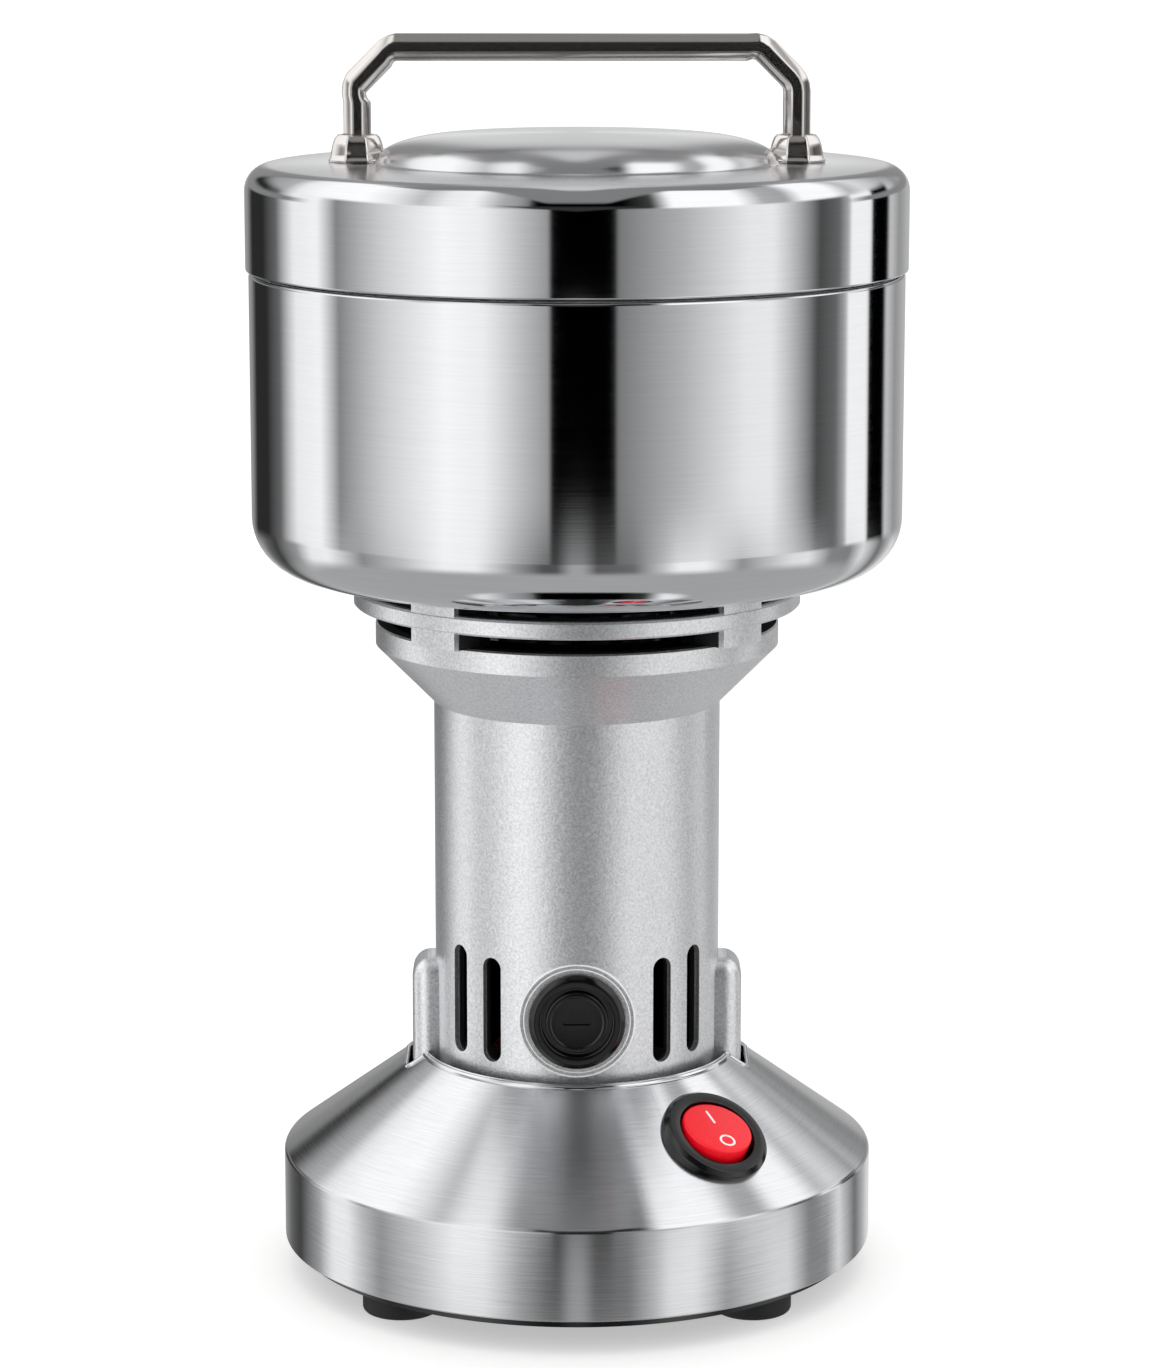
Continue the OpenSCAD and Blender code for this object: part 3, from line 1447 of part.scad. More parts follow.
rubber_feet();
foot_screws();
base_plate();
base_screws();
base_cover();
cord_gland();
motor_housing();
lower_bearing_bracket();
lower_bracket_screws();
lower_bearing_outer_race();
lower_bearing_balls();
lower_bearing_inner_race();
stator_core();
field_coils();
stator_screws();
front_brush_holder();
rear_brush_holder();
carbon_brushes();
brush_springs();
front_brush_cap();
rear_brush_cap();
upper_bearing_bracket();
upper_bracket_screws();
upper_bearing_outer_race();
upper_bearing_balls();
upper_bearing_inner_race();
motor_shaft();
armature_core();
armature_windings();
commutator();
cooling_fan();
bowl();
bowl_screws();
shaft_seal();
blade_spacers();
lower_blade();
upper_blade();
blade_nut();
switch_housing();
switch_terminals();
rocker_button();
terminal_block();
terminal_screws();
suppression_capacitor();
inner_wiring();
lid_seal();
lid_shell();
lid_liner();
lid_handle();
handle_ferrules();
handle_screws();
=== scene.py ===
# Electric coffee grinder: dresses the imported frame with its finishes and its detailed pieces
import math

import bmesh
import bpy
from mathutils import Matrix, Vector


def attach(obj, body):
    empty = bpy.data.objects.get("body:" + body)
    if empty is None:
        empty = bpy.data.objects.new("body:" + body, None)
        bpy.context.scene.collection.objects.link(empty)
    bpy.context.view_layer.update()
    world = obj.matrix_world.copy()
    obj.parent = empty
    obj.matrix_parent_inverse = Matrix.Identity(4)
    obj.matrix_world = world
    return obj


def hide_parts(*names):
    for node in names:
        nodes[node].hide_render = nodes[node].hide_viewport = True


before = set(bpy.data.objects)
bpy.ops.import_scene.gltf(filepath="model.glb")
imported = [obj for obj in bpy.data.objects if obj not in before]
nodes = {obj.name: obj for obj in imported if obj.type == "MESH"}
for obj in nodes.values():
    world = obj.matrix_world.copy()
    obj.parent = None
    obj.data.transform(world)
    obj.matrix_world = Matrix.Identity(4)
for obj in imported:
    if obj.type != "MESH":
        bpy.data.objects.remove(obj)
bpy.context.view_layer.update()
mm = 0.001
mergeGap = 1e-6  # vertices closer than this are one
upAxis = Vector((0, 0, 1))
print("frame loaded:", len(nodes), "nodes")

camera = {
    "place": (-0.00033, -0.700, 0.23662),
    "tiltDown": 10.903,
    "lens": 110.34,
    "sensor": 36,
    "clipStart": 0.01,
}

studio = {
    # A box or flag is placed by the direction, in degrees from the front and + to the right, of the round
    # surface that mirrors it to the camera: then it runs down a cone or wall as one straight streak.
    # For the lid and the bowl: direction and brightness
    "middle": (
        (-90, 0.3), (-80, 0.2), (-76, 0.02), (-69, 0.02), (-63, 0.12), (-57, 0.8), (-50, 0.88), (-45, 0.22),
        (-34, 0.62), (-23, 0.92), (-16, 0.84), (-9.5, 0.5), (-4.8, 0.3), (-4.3, 0.0), (6.3, 0.0), (6.8, 0.18),
        (18, 0.42), (30, 0.78), (35, 0.8), (42, 0.3), (45.5, 0.06), (50.5, 0.12), (53.3, 0.38), (54, 0.86),
        (60.3, 0.84), (61, 0.0), (67, 0.0), (68.5, 0.5), (73.5, 0.25), (80, 0.34),
    ),
    # for the wall of the base
    "low": (
        (-90, 0.4), (-75, 0.1), (-69, 0.04), (-60, 0.28), (-55, 0.8), (-50, 0.84), (-41, 0.24), (-32, 0.5),
        (-24, 0.86), (-18, 0.84), (-11, 0.3), (-6, 0.08), (-3.5, 0.08), (-1, 0.34), (1, 0.34), (3.5, 0.1),
        (10, 0.14), (15, 0.5), (18, 0.84), (23, 0.86), (30, 0.26), (41, 0.7), (45, 0.74), (51, 0.22),
        (57, 0.2), (62, 0.66), (70, 0.13), (80, 0.54),
    ),
    # for the cone of the base
    "overhead": (
        (-90, 0.2), (-80, 0.25), (-70, 0.32), (-63, 0.4), (-58, 0.8), (-51, 0.94), (-40, 0.98), (-34, 0.8),
        (-28, 0.5), (-23, 0.82), (-18, 0.88), (-13, 0.4), (-10, 0.3), (-8.5, 0.2), (-7.5, 0.0), (8, 0.0),
        (13, 0.04), (14.5, 0.4), (16.5, 0.98), (29, 0.98), (34, 0.4), (39, 0.35), (43, 0.95), (51, 0.95),
        (56, 0.45), (61, 0.66), (70, 0.4), (80, 0.18),
    ),
    # the camera's elevation in degrees, as seen from the base and from the lid and the bowl
    "baseElevation": 17,
    "bowlElevation": 6,
    # brightness: of all that steel mirrors, of the overhead row seen from below, of each plain part,
    # and of the room as it lights matt surfaces and as the camera sees it
    "gain": 1.5,
    "mirrored": 0.8,
    "underside": 0.34,
    "topBox": 0.2,
    "backBox": 0.55,
    "backWall": 0.2,
    "flag": 0.03,
    "fill": 1.12,
    "backdrop": 0.985,
    # where each part fades in, as the height up or the depth back of a direction
    "lowFade": (-0.17, -0.26),
    "undersideFade": (-0.4, -0.6),
    "nadirFade": (-0.93, -0.955),
    "overheadFade": (0.24, 0.4),
    "topBoxFade": (0.6, 0.8),
    "topBoxRear": (0.24, 0.32),
    "behindDepth": (0.2, 0.5),
    "behindHeight": (0.0, 0.05),
    "backWallHeight": (0.22, 0.12),
    "flagHeight": (0.56, 0.4),
    "flagDepth": (0.05, -0.05),
    # where each part ends to the sides, in radians
    "topBoxSides": (0.26, 0.2),
    "topBoxRearSides": (0.44, 0.38),
    "backWallSides": (0.42, 0.3),
    "backBoxSides": (0.14, 0.05),
    # the flag's lower edge: its height over the camera, its slope to the sides and its softness
    "flagFoot": 0.12,
    "flagSlope": 0.6,
    "flagEdge": (0.0, 0.12),
    "softboxPower": 4,
    "softboxSize": 1.6,
    "softboxPlace": (0, -0.1, 1.7),
    "floorColour": "#CDCDCC",
    "floorGlow": 0.45,
    "floorHalf": 12,
}


# sRGB hex to the linear colour that the shaders take
def linearColour(code):
    channels = [int(code[i:i + 2], 16) / 255 for i in (1, 3, 5)]
    return tuple(c / 12.92 if c < 0.04045 else ((c + 0.055) / 1.055) ** 2.4 for c in channels) + (1.0,)


# one node with its settings, and its inputs as values or as links
def addNode(tree, kind, inputs=None, **settings):
    node = tree.nodes.new("ShaderNode" + kind)
    for key, value in settings.items():
        setattr(node, key, value)
    for key, value in (inputs or {}).items():
        if isinstance(value, bpy.types.NodeSocket):
            tree.links.new(value, node.inputs[key])
        else:
            node.inputs[key].default_value = value
    return node


# colour stops over 0 to 1 for a ramp node; all places are set before any colour
def setStops(ramp, stops):
    while len(ramp.elements) < len(stops):
        ramp.elements.new(0.5)
    for element, (place, colour) in zip(ramp.elements, stops):
        element.position = place
    for element, (place, colour) in zip(ramp.elements, stops):
        element.color = colour


# a new material: its tree, its shader and the plain values on the shader's own sockets
def startFinish(name, colour, **sockets):
    material = bpy.data.materials.new(name)
    material.use_nodes = True
    tree = material.node_tree
    shader = tree.nodes["Principled BSDF"]
    shader.inputs["Base Color"].default_value = linearColour(colour)
    for socket, value in sockets.items():
        shader.inputs[socket.replace("_", " ")].default_value = value
    return material, tree, shader


# places on the surface in millimetres
def millimetres(tree):
    place = addNode(tree, "TexCoord").outputs["Object"]
    return addNode(tree, "Mapping", {"Vector": place, "Scale": (1000, 1000, 1000)}).outputs[0]


# grain of about the given size in mm, as a height between 0 and 1
def grain(tree, size, detail=2.0, roughness=0.5):
    return addNode(tree, "TexNoise", {
        "Vector": millimetres(tree), "Scale": 1 / size, "Detail": detail, "Roughness": roughness,
    }).outputs["Fac"]


# height, distance from the axis and the way out from it, in mm
def roundPlace(tree):
    place = millimetres(tree)
    out = addNode(tree, "VectorMath", {0: place, 1: (1, 1, 0)}, operation="MULTIPLY").outputs[0]
    radius = addNode(tree, "VectorMath", {0: out}, operation="LENGTH").outputs["Value"]
    return addNode(tree, "SeparateXYZ", {0: place}).outputs[2], radius, out


# fine lines that run round the axis, as a lathe, a spinning tool or an abrasive belt leaves them
def turnedLines(tree, spacing, length):
    height, radius, out = roundPlace(tree)
    around = addNode(tree, "VectorMath", {0: out}, operation="NORMALIZE").outputs[0]
    turn = addNode(tree, "SeparateXYZ", {0: around})
    across = addNode(tree, "CombineXYZ", {
        0: addNode(tree, "Math", {0: radius, 1: 1 / spacing}, operation="MULTIPLY").outputs[0],
        1: addNode(tree, "Math", {0: height, 1: 1 / spacing}, operation="MULTIPLY").outputs[0],
        2: addNode(tree, "Math", {0: turn.outputs[0], 1: length}, operation="MULTIPLY").outputs[0],
    }).outputs[0]
    along = addNode(tree, "Math", {0: turn.outputs[1], 1: length}, operation="MULTIPLY").outputs[0]
    return addNode(tree, "TexNoise", {
        "Vector": across, "W": along, "Scale": 1.0, "Detail": 3.0, "Roughness": 0.6,
    }, noise_dimensions="4D").outputs["Fac"]


# the direction round the axis, for the stretched shine of a turned or brushed surface
def roundTangent(tree):
    place = addNode(tree, "TexCoord").outputs["Object"]
    side = addNode(tree, "VectorMath", {0: upAxis, 1: place}, operation="CROSS_PRODUCT").outputs[0]
    return addNode(tree, "VectorTransform", {0: side}, convert_from="OBJECT", convert_to="WORLD").outputs[0]


# a value ranging between two numbers as a pattern goes from 0 to 1
def between(tree, pattern, low, high):
    return addNode(tree, "MapRange", {"Value": pattern, "To Min": low, "To Max": high}).outputs[0]


# a colour ranging between two hex colours
def tint(tree, pattern, first, second):
    ramp = addNode(tree, "ValToRGB", {0: pattern})
    setStops(ramp.color_ramp, ((0.3, linearColour(first)), (0.7, linearColour(second))))
    return ramp.outputs[0]


# small relief, its height in mm
def relief(tree, shader, pattern, height, strength=1.0):
    bump = addNode(tree, "Bump", {"Height": pattern, "Distance": height * mm, "Strength": strength})
    tree.links.new(bump.outputs[0], shader.inputs["Normal"])


# one number or the other as a mask goes from 0 to 1
def blend(tree, mask, first, second):
    return addNode(tree, "Mix", {"Factor": mask, 2: first, 3: second}).outputs[0]


# a mask that goes from 0 to 1 as a value passes from one number to another
def fade(tree, value, start, end):
    return addNode(tree, "MapRange", {"Value": value, "From Min": start, "From Max": end},
                   interpolation_type="SMOOTHSTEP").outputs[0]


# 18/8 stainless sheet, spun and then polished: a mirror with faint lines round the axis;
# above a height in mm it is left as a fine circular brushing
def polishedSteel(name="polishedStainlessSteel", brushedFrom=None):
    material, tree, shader = startFinish(name, "#D4D5D7", Metallic=1.0, Anisotropic=0.35,
                                         Anisotropic_Rotation=0.25)
    lines = turnedLines(tree, spacing=0.3, length=4)
    roughness = between(tree, lines, 0.04, 0.1)
    if brushedFrom:
        height = addNode(tree, "SeparateXYZ", {0: millimetres(tree)}).outputs[2]
        top = fade(tree, height, brushedFrom, brushedFrom + 0.3)
        roughness = blend(tree, top, roughness, between(tree, lines, 0.14, 0.24))
        tree.links.new(blend(tree, top, 0.35, 0.9), shader.inputs["Anisotropic"])
    tree.links.new(roughness, shader.inputs["Roughness"])
    tree.links.new(tint(tree, lines, "#D2D3D5", "#D7D8DA"), shader.inputs["Base Color"])
    tree.links.new(roundTangent(tree), shader.inputs["Tangent"])
    relief(tree, shader, lines, height=0.004, strength=0.3)
    return material


# the same sheet, brushed on a belt: a satin shine drawn out across the lines
def brushedSteel():
    material, tree, shader = startFinish("brushedStainlessSteel", "#D2D3D5", Metallic=1.0, Anisotropic=0.92,
                                         Anisotropic_Rotation=0.25)
    lines = turnedLines(tree, spacing=0.12, length=6)
    tree.links.new(between(tree, lines, 0.12, 0.22), shader.inputs["Roughness"])
    tree.links.new(tint(tree, lines, "#C9CACC", "#DBDCDE"), shader.inputs["Base Color"])
    tree.links.new(roundTangent(tree), shader.inputs["Tangent"])
    relief(tree, shader, lines, height=0.0005, strength=0.15)
    return material


# an even skin: one fine grain moves the roughness, the colour and the relief a little
def evenSkin(name, colour, size, roughness, tints=None, height=0, detail=2.0, strength=1.0, **sockets):
    material, tree, shader = startFinish(name, colour, **sockets)
    skin = grain(tree, size, detail)
    tree.links.new(between(tree, skin, *roughness), shader.inputs["Roughness"])
    if tints:
        tree.links.new(tint(tree, skin, *tints), shader.inputs["Base Color"])
    if height:
        relief(tree, shader, skin, height, strength)
    return material


# hardened blade steel, ground flat: straight grinding marks
def groundSteel():
    material, tree, shader = startFinish("groundBladeSteel", "#C8CACC", Metallic=1.0)
    stretched = addNode(tree, "Mapping", {"Vector": millimetres(tree), "Scale": (4, 0.3, 4)}).outputs[0]
    marks = addNode(tree, "TexNoise", {"Vector": stretched, "Scale": 1.0, "Detail": 3.0}).outputs["Fac"]
    tree.links.new(between(tree, marks, 0.16, 0.34), shader.inputs["Roughness"])
    relief(tree, shader, marks, height=0.006)
    return material


# bearing steel, lapped: nearly a mirror under a film of oil
def lappedSteel():
    material, tree, shader = startFinish("lappedBearingSteel", "#CDCFD2", Metallic=1.0, Coat_Weight=0.3)
    lines = turnedLines(tree, spacing=0.25, length=3)
    tree.links.new(between(tree, lines, 0.1, 0.2), shader.inputs["Roughness"])
    return material


# die-cast aluminium under silver powder paint: a fine sandy grain with metal flake in it; the beads are
# painted near white as a highlight, and the inside is painted near black, matt and not metallic as shade
paintedShadeReach = {
    # (height, radius) in mm of the line between the outside and the inside that is painted dark as shade
    "columnTop": 99.5, "columnRadius": 23.4, "coneTop": 109.4, "coneRadius": 33.2,
    "rimTop": 113.15, "ringRadius": 36.5, "softness": 0.15,
}


def silverPaintAndPaintedLight():
    s = paintedShadeReach
    material, tree, shader = startFinish("silverPowderPaintAndPaintedLight", "#E0E1E4", Metallic=0.9)
    height, radius, out = roundPlace(tree)
    reach = addNode(tree, "MapRange", {"Value": height, "From Min": s["columnTop"], "From Max": s["coneTop"],
                                       "To Min": s["columnRadius"], "To Max": s["coneRadius"]}).outputs[0]
    step = addNode(tree, "Math", {0: height, 1: s["rimTop"]}, operation="GREATER_THAN").outputs[0]
    reach = addNode(tree, "Math", {0: step, 1: s["ringRadius"] - s["coneRadius"], 2: reach},
                    operation="MULTIPLY_ADD").outputs[0]
    past = addNode(tree, "Math", {0: radius, 1: reach}, operation="SUBTRACT").outputs[0]
    outside = fade(tree, past, -s["softness"], s["softness"])
    edge = addNode(tree, "Attribute", attribute_name="paintedEdgeHighlight").outputs["Fac"]
    sand = grain(tree, size=0.42, detail=3.0, roughness=0.65)
    paint = tint(tree, sand, "#CDCFD2", "#F8F9FA")
    # painted highlight: where the edge attribute is set, the paint turns near white and less metallic
    withPaintedHighlight = addNode(tree, "Mix", {"Factor": edge, 6: paint, 7: linearColour("#F4F4F5")},
                   data_type="RGBA").outputs[2]
    # painted shade: inside the reach the colour goes near black, and lower down the metal and the gloss go
    # too
    colour = addNode(tree, "Mix", {"Factor": outside, 6: linearColour("#0E0E0F"), 7: withPaintedHighlight},
                     data_type="RGBA").outputs[2]
    tree.links.new(colour, shader.inputs["Base Color"])
    tree.links.new(blend(tree, outside, 0.0, blend(tree, edge, 0.9, 0.3)), shader.inputs["Metallic"])
    tree.links.new(blend(tree, outside, 0.75, between(tree, sand, 0.26, 0.42)), shader.inputs["Roughness"])
    relief(tree, shader, sand, height=0.07, strength=0.6)
    return material


# silicon steel laminations, stacked and dipped in black varnish: dark sheets half a millimetre thick
def laminatedSteel():
    material, tree, shader = startFinish("varnishedLaminations", "#2B2D2F", Metallic=0.7)
    height = addNode(tree, "SeparateXYZ", {0: millimetres(tree)}).outputs[2]
    sheets = addNode(tree, "Math", {0: height, 1: math.tau / 0.5}, operation="MULTIPLY").outputs[0]
    edges = addNode(tree, "Math", {0: sheets}, operation="SINE").outputs[0]
    tree.links.new(tint(tree, edges, "#1E1F21", "#3A3C3F"), shader.inputs["Base Color"])
    tree.links.new(between(tree, grain(tree, size=0.7), 0.4, 0.55), shader.inputs["Roughness"])
    relief(tree, shader, edges, height=0.03)
    return material


# enamelled copper wire, wound: strands of 0.5 mm under a glossy amber varnish
def enamelledCopper():
    material, tree, shader = startFinish("enamelledCopperWire", "#9A4A22", Metallic=0.9, Coat_Weight=0.5)
    height = addNode(tree, "SeparateXYZ", {0: millimetres(tree)}).outputs[2]
    wobble = grain(tree, size=4.0)
    shifted = addNode(tree, "Math", {0: wobble, 1: 1.5, 2: height}, operation="MULTIPLY_ADD").outputs[0]
    turns = addNode(tree, "Math", {0: shifted, 1: math.tau / 0.5}, operation="MULTIPLY").outputs[0]
    strands = addNode(tree, "Math", {0: turns}, operation="SINE").outputs[0]
    tree.links.new(tint(tree, strands, "#6E2F14", "#B3622F"), shader.inputs["Base Color"])
    tree.links.new(between(tree, wobble, 0.25, 0.4), shader.inputs["Roughness"])
    relief(tree, shader, strands, height=0.12)
    return material


# bare copper bars, turned after assembly
def turnedCopper():
    material, tree, shader = startFinish("turnedCopper", "#C07A52", Metallic=1.0)
    lines = turnedLines(tree, spacing=0.25, length=2)
    tree.links.new(between(tree, lines, 0.2, 0.36), shader.inputs["Roughness"])
    tree.links.new(tint(tree, lines, "#AE6840", "#CC8A60"), shader.inputs["Base Color"])
    return material


# the record's slots: the finish of each and the frame's nodes that wear it
finishes = {
    "polished_steel": (polishedSteel(), "bowl lid_shell"),
    "brushed_steel": (brushedSteel(), "base_cover"),
    # chromium plate on steel bar: a bright, slightly warm mirror with a few polishing waves
    "chrome_handle": (
        evenSkin("chromePlate", "#D2CECB", 3.0, (0.03, 0.07), height=0.003, strength=0.3, Metallic=0.96),
        "lid_handle handle_ferrules"),
    # zinc plated screws: bright, with a faint bluish mottle
    "steel_screws": (
        evenSkin("zincPlatedSteel", "#C4C7CA", 0.6, (0.2, 0.34), ("#B9BDC2", "#CFD0D1"), Metallic=1.0),
        "foot_screws base_screws lower_bracket_screws upper_bracket_screws stator_screws bowl_screws "
        "handle_screws blade_spacers blade_nut"),
    "blade_steel": (groundSteel(), "lower_blade upper_blade"),
    "bearing_steel": (
        lappedSteel(),
        "lower_bearing_outer_race lower_bearing_balls lower_bearing_inner_race "
        "upper_bearing_outer_race upper_bearing_balls upper_bearing_inner_race motor_shaft"),
    "silver_paint": (silverPaintAndPaintedLight(), "motor_housing"),
    # bare die-cast aluminium: a dull cast skin
    "cast_aluminium": (
        evenSkin("bareCastAluminium", "#A9ACB0", 0.8, (0.42, 0.62), ("#989B9F", "#B4B7BA"), 0.06,
                 detail=4.0, Metallic=1.0),
        "lower_bearing_bracket"),
    # black ABS, moulded with a gloss: deep black with a clean, slightly wavy shine
    "black_plastic": (
        evenSkin("glossBlackAbs", "#090909", 1.6, (0.08, 0.14), ("#070707", "#0D0D0D"), 0.004, IOR=1.53),
        "base_plate front_brush_holder rear_brush_holder front_brush_cap rear_brush_cap "
        "upper_bearing_bracket switch_housing cooling_fan"),
    # natural rubber with carbon black, moulded: matt and a little dusty
    "black_rubber": (
        evenSkin("mouldedBlackRubber", "#0C0C0D", 0.5, (0.55, 0.72), ("#090909", "#121213"), 0.03,
                 detail=4.0, IOR=1.52),
        "rubber_feet cord_gland shaft_seal"),
    # red ABS, moulded with a soft gloss
    "red_plastic": (
        evenSkin("redMouldedAbs", "#F80820", 0.7, (0.28, 0.38), ("#F4061C", "#FB0A24"), 0.006, IOR=1.5),
        "rocker_button"),
    "lamination_steel": (laminatedSteel(), "stator_core armature_core"),
    "copper_winding": (enamelledCopper(), "field_coils armature_windings"),
    "commutator_copper": (turnedCopper(), "commutator"),
    # pressed carbon: matt grey black with a graphite glint
    "carbon": (
        evenSkin("pressedCarbon", "#2A2A2C", 0.3, (0.45, 0.7), ("#202022", "#38383B"), detail=4.0,
                 Metallic=0.3),
        "carbon_brushes"),
    # rolled spring brass: yellow, with a little tarnish
    "spring_brass": (
        evenSkin("rolledBrass", "#C9A24A", 1.2, (0.22, 0.38), ("#B98F3A", "#D6B35E"), detail=3.0,
                 Metallic=1.0),
        "brush_springs switch_terminals terminal_screws"),
    # natural polypropylene, moulded: milky white and a little waxy
    "white_plastic": (
        evenSkin("naturalPolypropylene", "#E4E4E0", 0.9, (0.34, 0.46), ("#DEDEDA", "#E9E9E6"), 0.015,
                 IOR=1.49, Subsurface_Weight=0.1),
        "terminal_block lid_liner"),
    # yellow polyester film, wrapped round the capacitor
    "yellow_film": (
        evenSkin("yellowPolyesterFilm", "#D9A62E", 2.0, (0.18, 0.3), ("#CF9A22", "#E2B13B"), 0.05, IOR=1.57),
        "suppression_capacitor"),
    # soft PVC over the inner leads: dull red brown
    "wire_sheath": (
        evenSkin("softPvcSheath", "#8E2A22", 0.6, (0.38, 0.5), ("#82251E", "#9A3028"), IOR=1.53),
        "inner_wiring"),
    # food grade silicone, moulded: off white, matt, soft to the light
    "seal_silicone": (
        evenSkin("foodGradeSilicone", "#E9E7E2", 0.7, (0.5, 0.62), ("#E3E0DA", "#EFEDE9"), 0.02,
                 IOR=1.41, Subsurface_Weight=0.15),
        "lid_seal"),
}
lidSteel = polishedSteel("brushedTopStainlessSteel", brushedFrom=189.35)
# black nylon, moulded with a satin face: a deep grey in the light
satinBlack = evenSkin("satinBlackNylon", "#0B0B0C", 0.3, (0.14, 0.22), ("#080809", "#0F0F10"), 0.003,
                      IOR=1.53)
# white pad-printed ink: matt, a little uneven at its edge
printedInk = evenSkin("whitePrintedInk", "#F6F4F2", 0.2, (0.45, 0.6), ("#EFECEA", "#FBFAF9"), IOR=1.5)
slotOf = {}
for slotName, (finish, wearers) in finishes.items():
    for name in wearers.split():
        slotOf[name] = slotName
        nodes[name].data.materials.clear()
        nodes[name].data.materials.append(finish)
print("finishes given to", len(slotOf), "nodes")


# lays a shape that stands along Z down towards the front
lieDown = Matrix.Rotation(math.pi / 2, 4, "X")


# a move in mm
def shift(x, y, z):
    return Matrix.Translation(Vector((x, y, z)) * mm)


# a turn round the upright axis, in radians
def turned(angle):
    return Matrix.Rotation(angle, 4, upAxis)


def putInScene(name, data):
    thing = bpy.data.objects.new(name, data)
    bpy.context.scene.collection.objects.link(thing)
    return thing


# rounds edges to a width in mm
def roundEdges(bm, edges, width, segments, **settings):
    bmesh.ops.bevel(bm, geom=edges, affect="EDGES", offset=width * mm, offset_type="OFFSET",
                    segments=segments, profile=0.5, material=-1, **settings)


# an outline in the XZ plane from (radius, height, rounding) corners in mm
def drawOutline(bm, corners, closed=True, segments=6):
    verts = [bm.verts.new((corner[0] * mm, 0, corner[1] * mm)) for corner in corners]
    for pair in zip(verts, verts[1:] + verts[:1] if closed else verts[1:]):
        bm.edges.new(pair)
    for vert, corner in zip(verts, corners):
        if len(corner) > 2:
            before, after = (edge.other_vert(vert).co - vert.co for edge in vert.link_edges)
            reach = corner[2] * mm * math.tan((math.pi - before.angle(after)) / 2)
            bmesh.ops.bevel(bm, geom=[vert], affect="VERTICES", offset=reach, offset_type="OFFSET",
                            segments=segments, profile=0.5, material=-1)


# a full turn of what is drawn, round the Z axis
def turnOutline(bm, steps=160):
    bmesh.ops.spin(bm, geom=bm.verts[:] + bm.edges[:], cent=(0, 0, 0), axis=upAxis, dvec=(0, 0, 0),
                   angle=math.tau, steps=steps, use_merge=True)
    bmesh.ops.remove_doubles(bm, verts=bm.verts, dist=mergeGap)
    bmesh.ops.recalc_face_normals(bm, faces=bm.faces)


# a closed outline filled and swept part of the way round the Z axis
def sweepFace(bm, angle, steps):
    bmesh.ops.contextual_create(bm, geom=bm.edges[:])
    bmesh.ops.spin(bm, geom=bm.faces[:], cent=(0, 0, 0), axis=upAxis, dvec=(0, 0, 0),
                   angle=angle, steps=steps)
    bmesh.ops.recalc_face_normals(bm, faces=bm.faces)


# one turned body on its own mesh
def turnedBody(corners, closed=True, segments=6, steps=160):
    bm = bmesh.new()
    drawOutline(bm, corners, closed, segments)
    turnOutline(bm, steps)
    return bm


# puts one mesh into another, and frees it
def join(bm, other, place=Matrix.Identity(4)):
    other.transform(place)
    carrier = bpy.data.meshes.new("carrier")
    other.to_mesh(carrier)
    other.free()
    bm.from_mesh(carrier)
    bpy.data.meshes.remove(carrier)


# the mesh of an object as its modifiers or its bevel leave it
def finalShape(thing):
    bpy.context.view_layer.update()
    result = bpy.data.meshes.new_from_object(thing.evaluated_get(bpy.context.evaluated_depsgraph_get()))
    bm = bmesh.new()
    bm.from_mesh(result)
    bpy.data.meshes.remove(result)
    return bm


# one mesh less another, by a boolean on two passing objects
def cutAway(bm, cutter):
    made = []
    for shape in (bm, cutter):
        mesh = bpy.data.meshes.new("passing")
        shape.to_mesh(mesh)
        shape.free()
        made.append(putInScene("passing", mesh))
    body, tool = made
    boolean = body.modifiers.new("cut", "BOOLEAN")
    boolean.operation = "DIFFERENCE"
    boolean.solver = "EXACT"
    boolean.object = tool
    cut = finalShape(body)
    for thing in made:
        bpy.data.meshes.remove(thing.data)
    return cut


# a block with its middle at a place, in mm
def plainBlock(size, place):
    bm = bmesh.new()
    bmesh.ops.create_cube(bm, size=mm)
    bmesh.ops.scale(bm, vec=size, verts=bm.verts)
    bmesh.ops.translate(bm, vec=Vector(place) * mm, verts=bm.verts)
    return bm


# the same with its upright edges rounded
def roundedBlock(size, place, rounding):
    bm = plainBlock(size, place)
    upright = [e for e in bm.edges if abs(e.verts[0].co.z - e.verts[1].co.z) > mergeGap]
    roundEdges(bm, upright, rounding, segments=6)
    return bm


# a round bar along points in mm, as a mesh
def sweptBar(points, radius):
    line = bpy.data.curves.new("passing", "CURVE")
    line.dimensions = "3D"
    line.bevel_depth = radius * mm
    line.bevel_resolution = 4
    line.use_fill_caps = True
    spline = line.splines.new("POLY")
    spline.points.add(len(points) - 1)
    for point, place in zip(spline.points, points):
        point.co = (*(Vector(place) * mm), 1)
    carrier = putInScene("passing", line)
    bm = finalShape(carrier)
    bpy.data.objects.remove(carrier)
    bpy.data.curves.remove(line)
    return bm


# turns a mesh into a piece of the object that stands for frame nodes
def addPiece(name, bm, body, slotName, replaced=(), finish=None, sharpAngle=35):
    mesh = bpy.data.meshes.new(name)
    bm.to_mesh(mesh)
    bm.free()
    mesh.shade_smooth()
    mesh.set_sharp_from_angle(angle=math.radians(sharpAngle))
    mesh.materials.append(finish or finishes[slotName][0])
    piece = putInScene(name, mesh)
    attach(piece, body)
    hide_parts(*replaced)
    return piece


# a merged copy of a node's mesh, its flat faces whole
def copyNode(name):
    bm = bmesh.new()
    bm.from_mesh(nodes[name].data)
    bmesh.ops.remove_doubles(bm, verts=bm.verts, dist=5 * mergeGap)
    bmesh.ops.dissolve_limit(bm, angle_limit=math.radians(0.5), use_dissolve_boundaries=False,
                             verts=bm.verts, edges=bm.edges, delimit=set())
    return bm


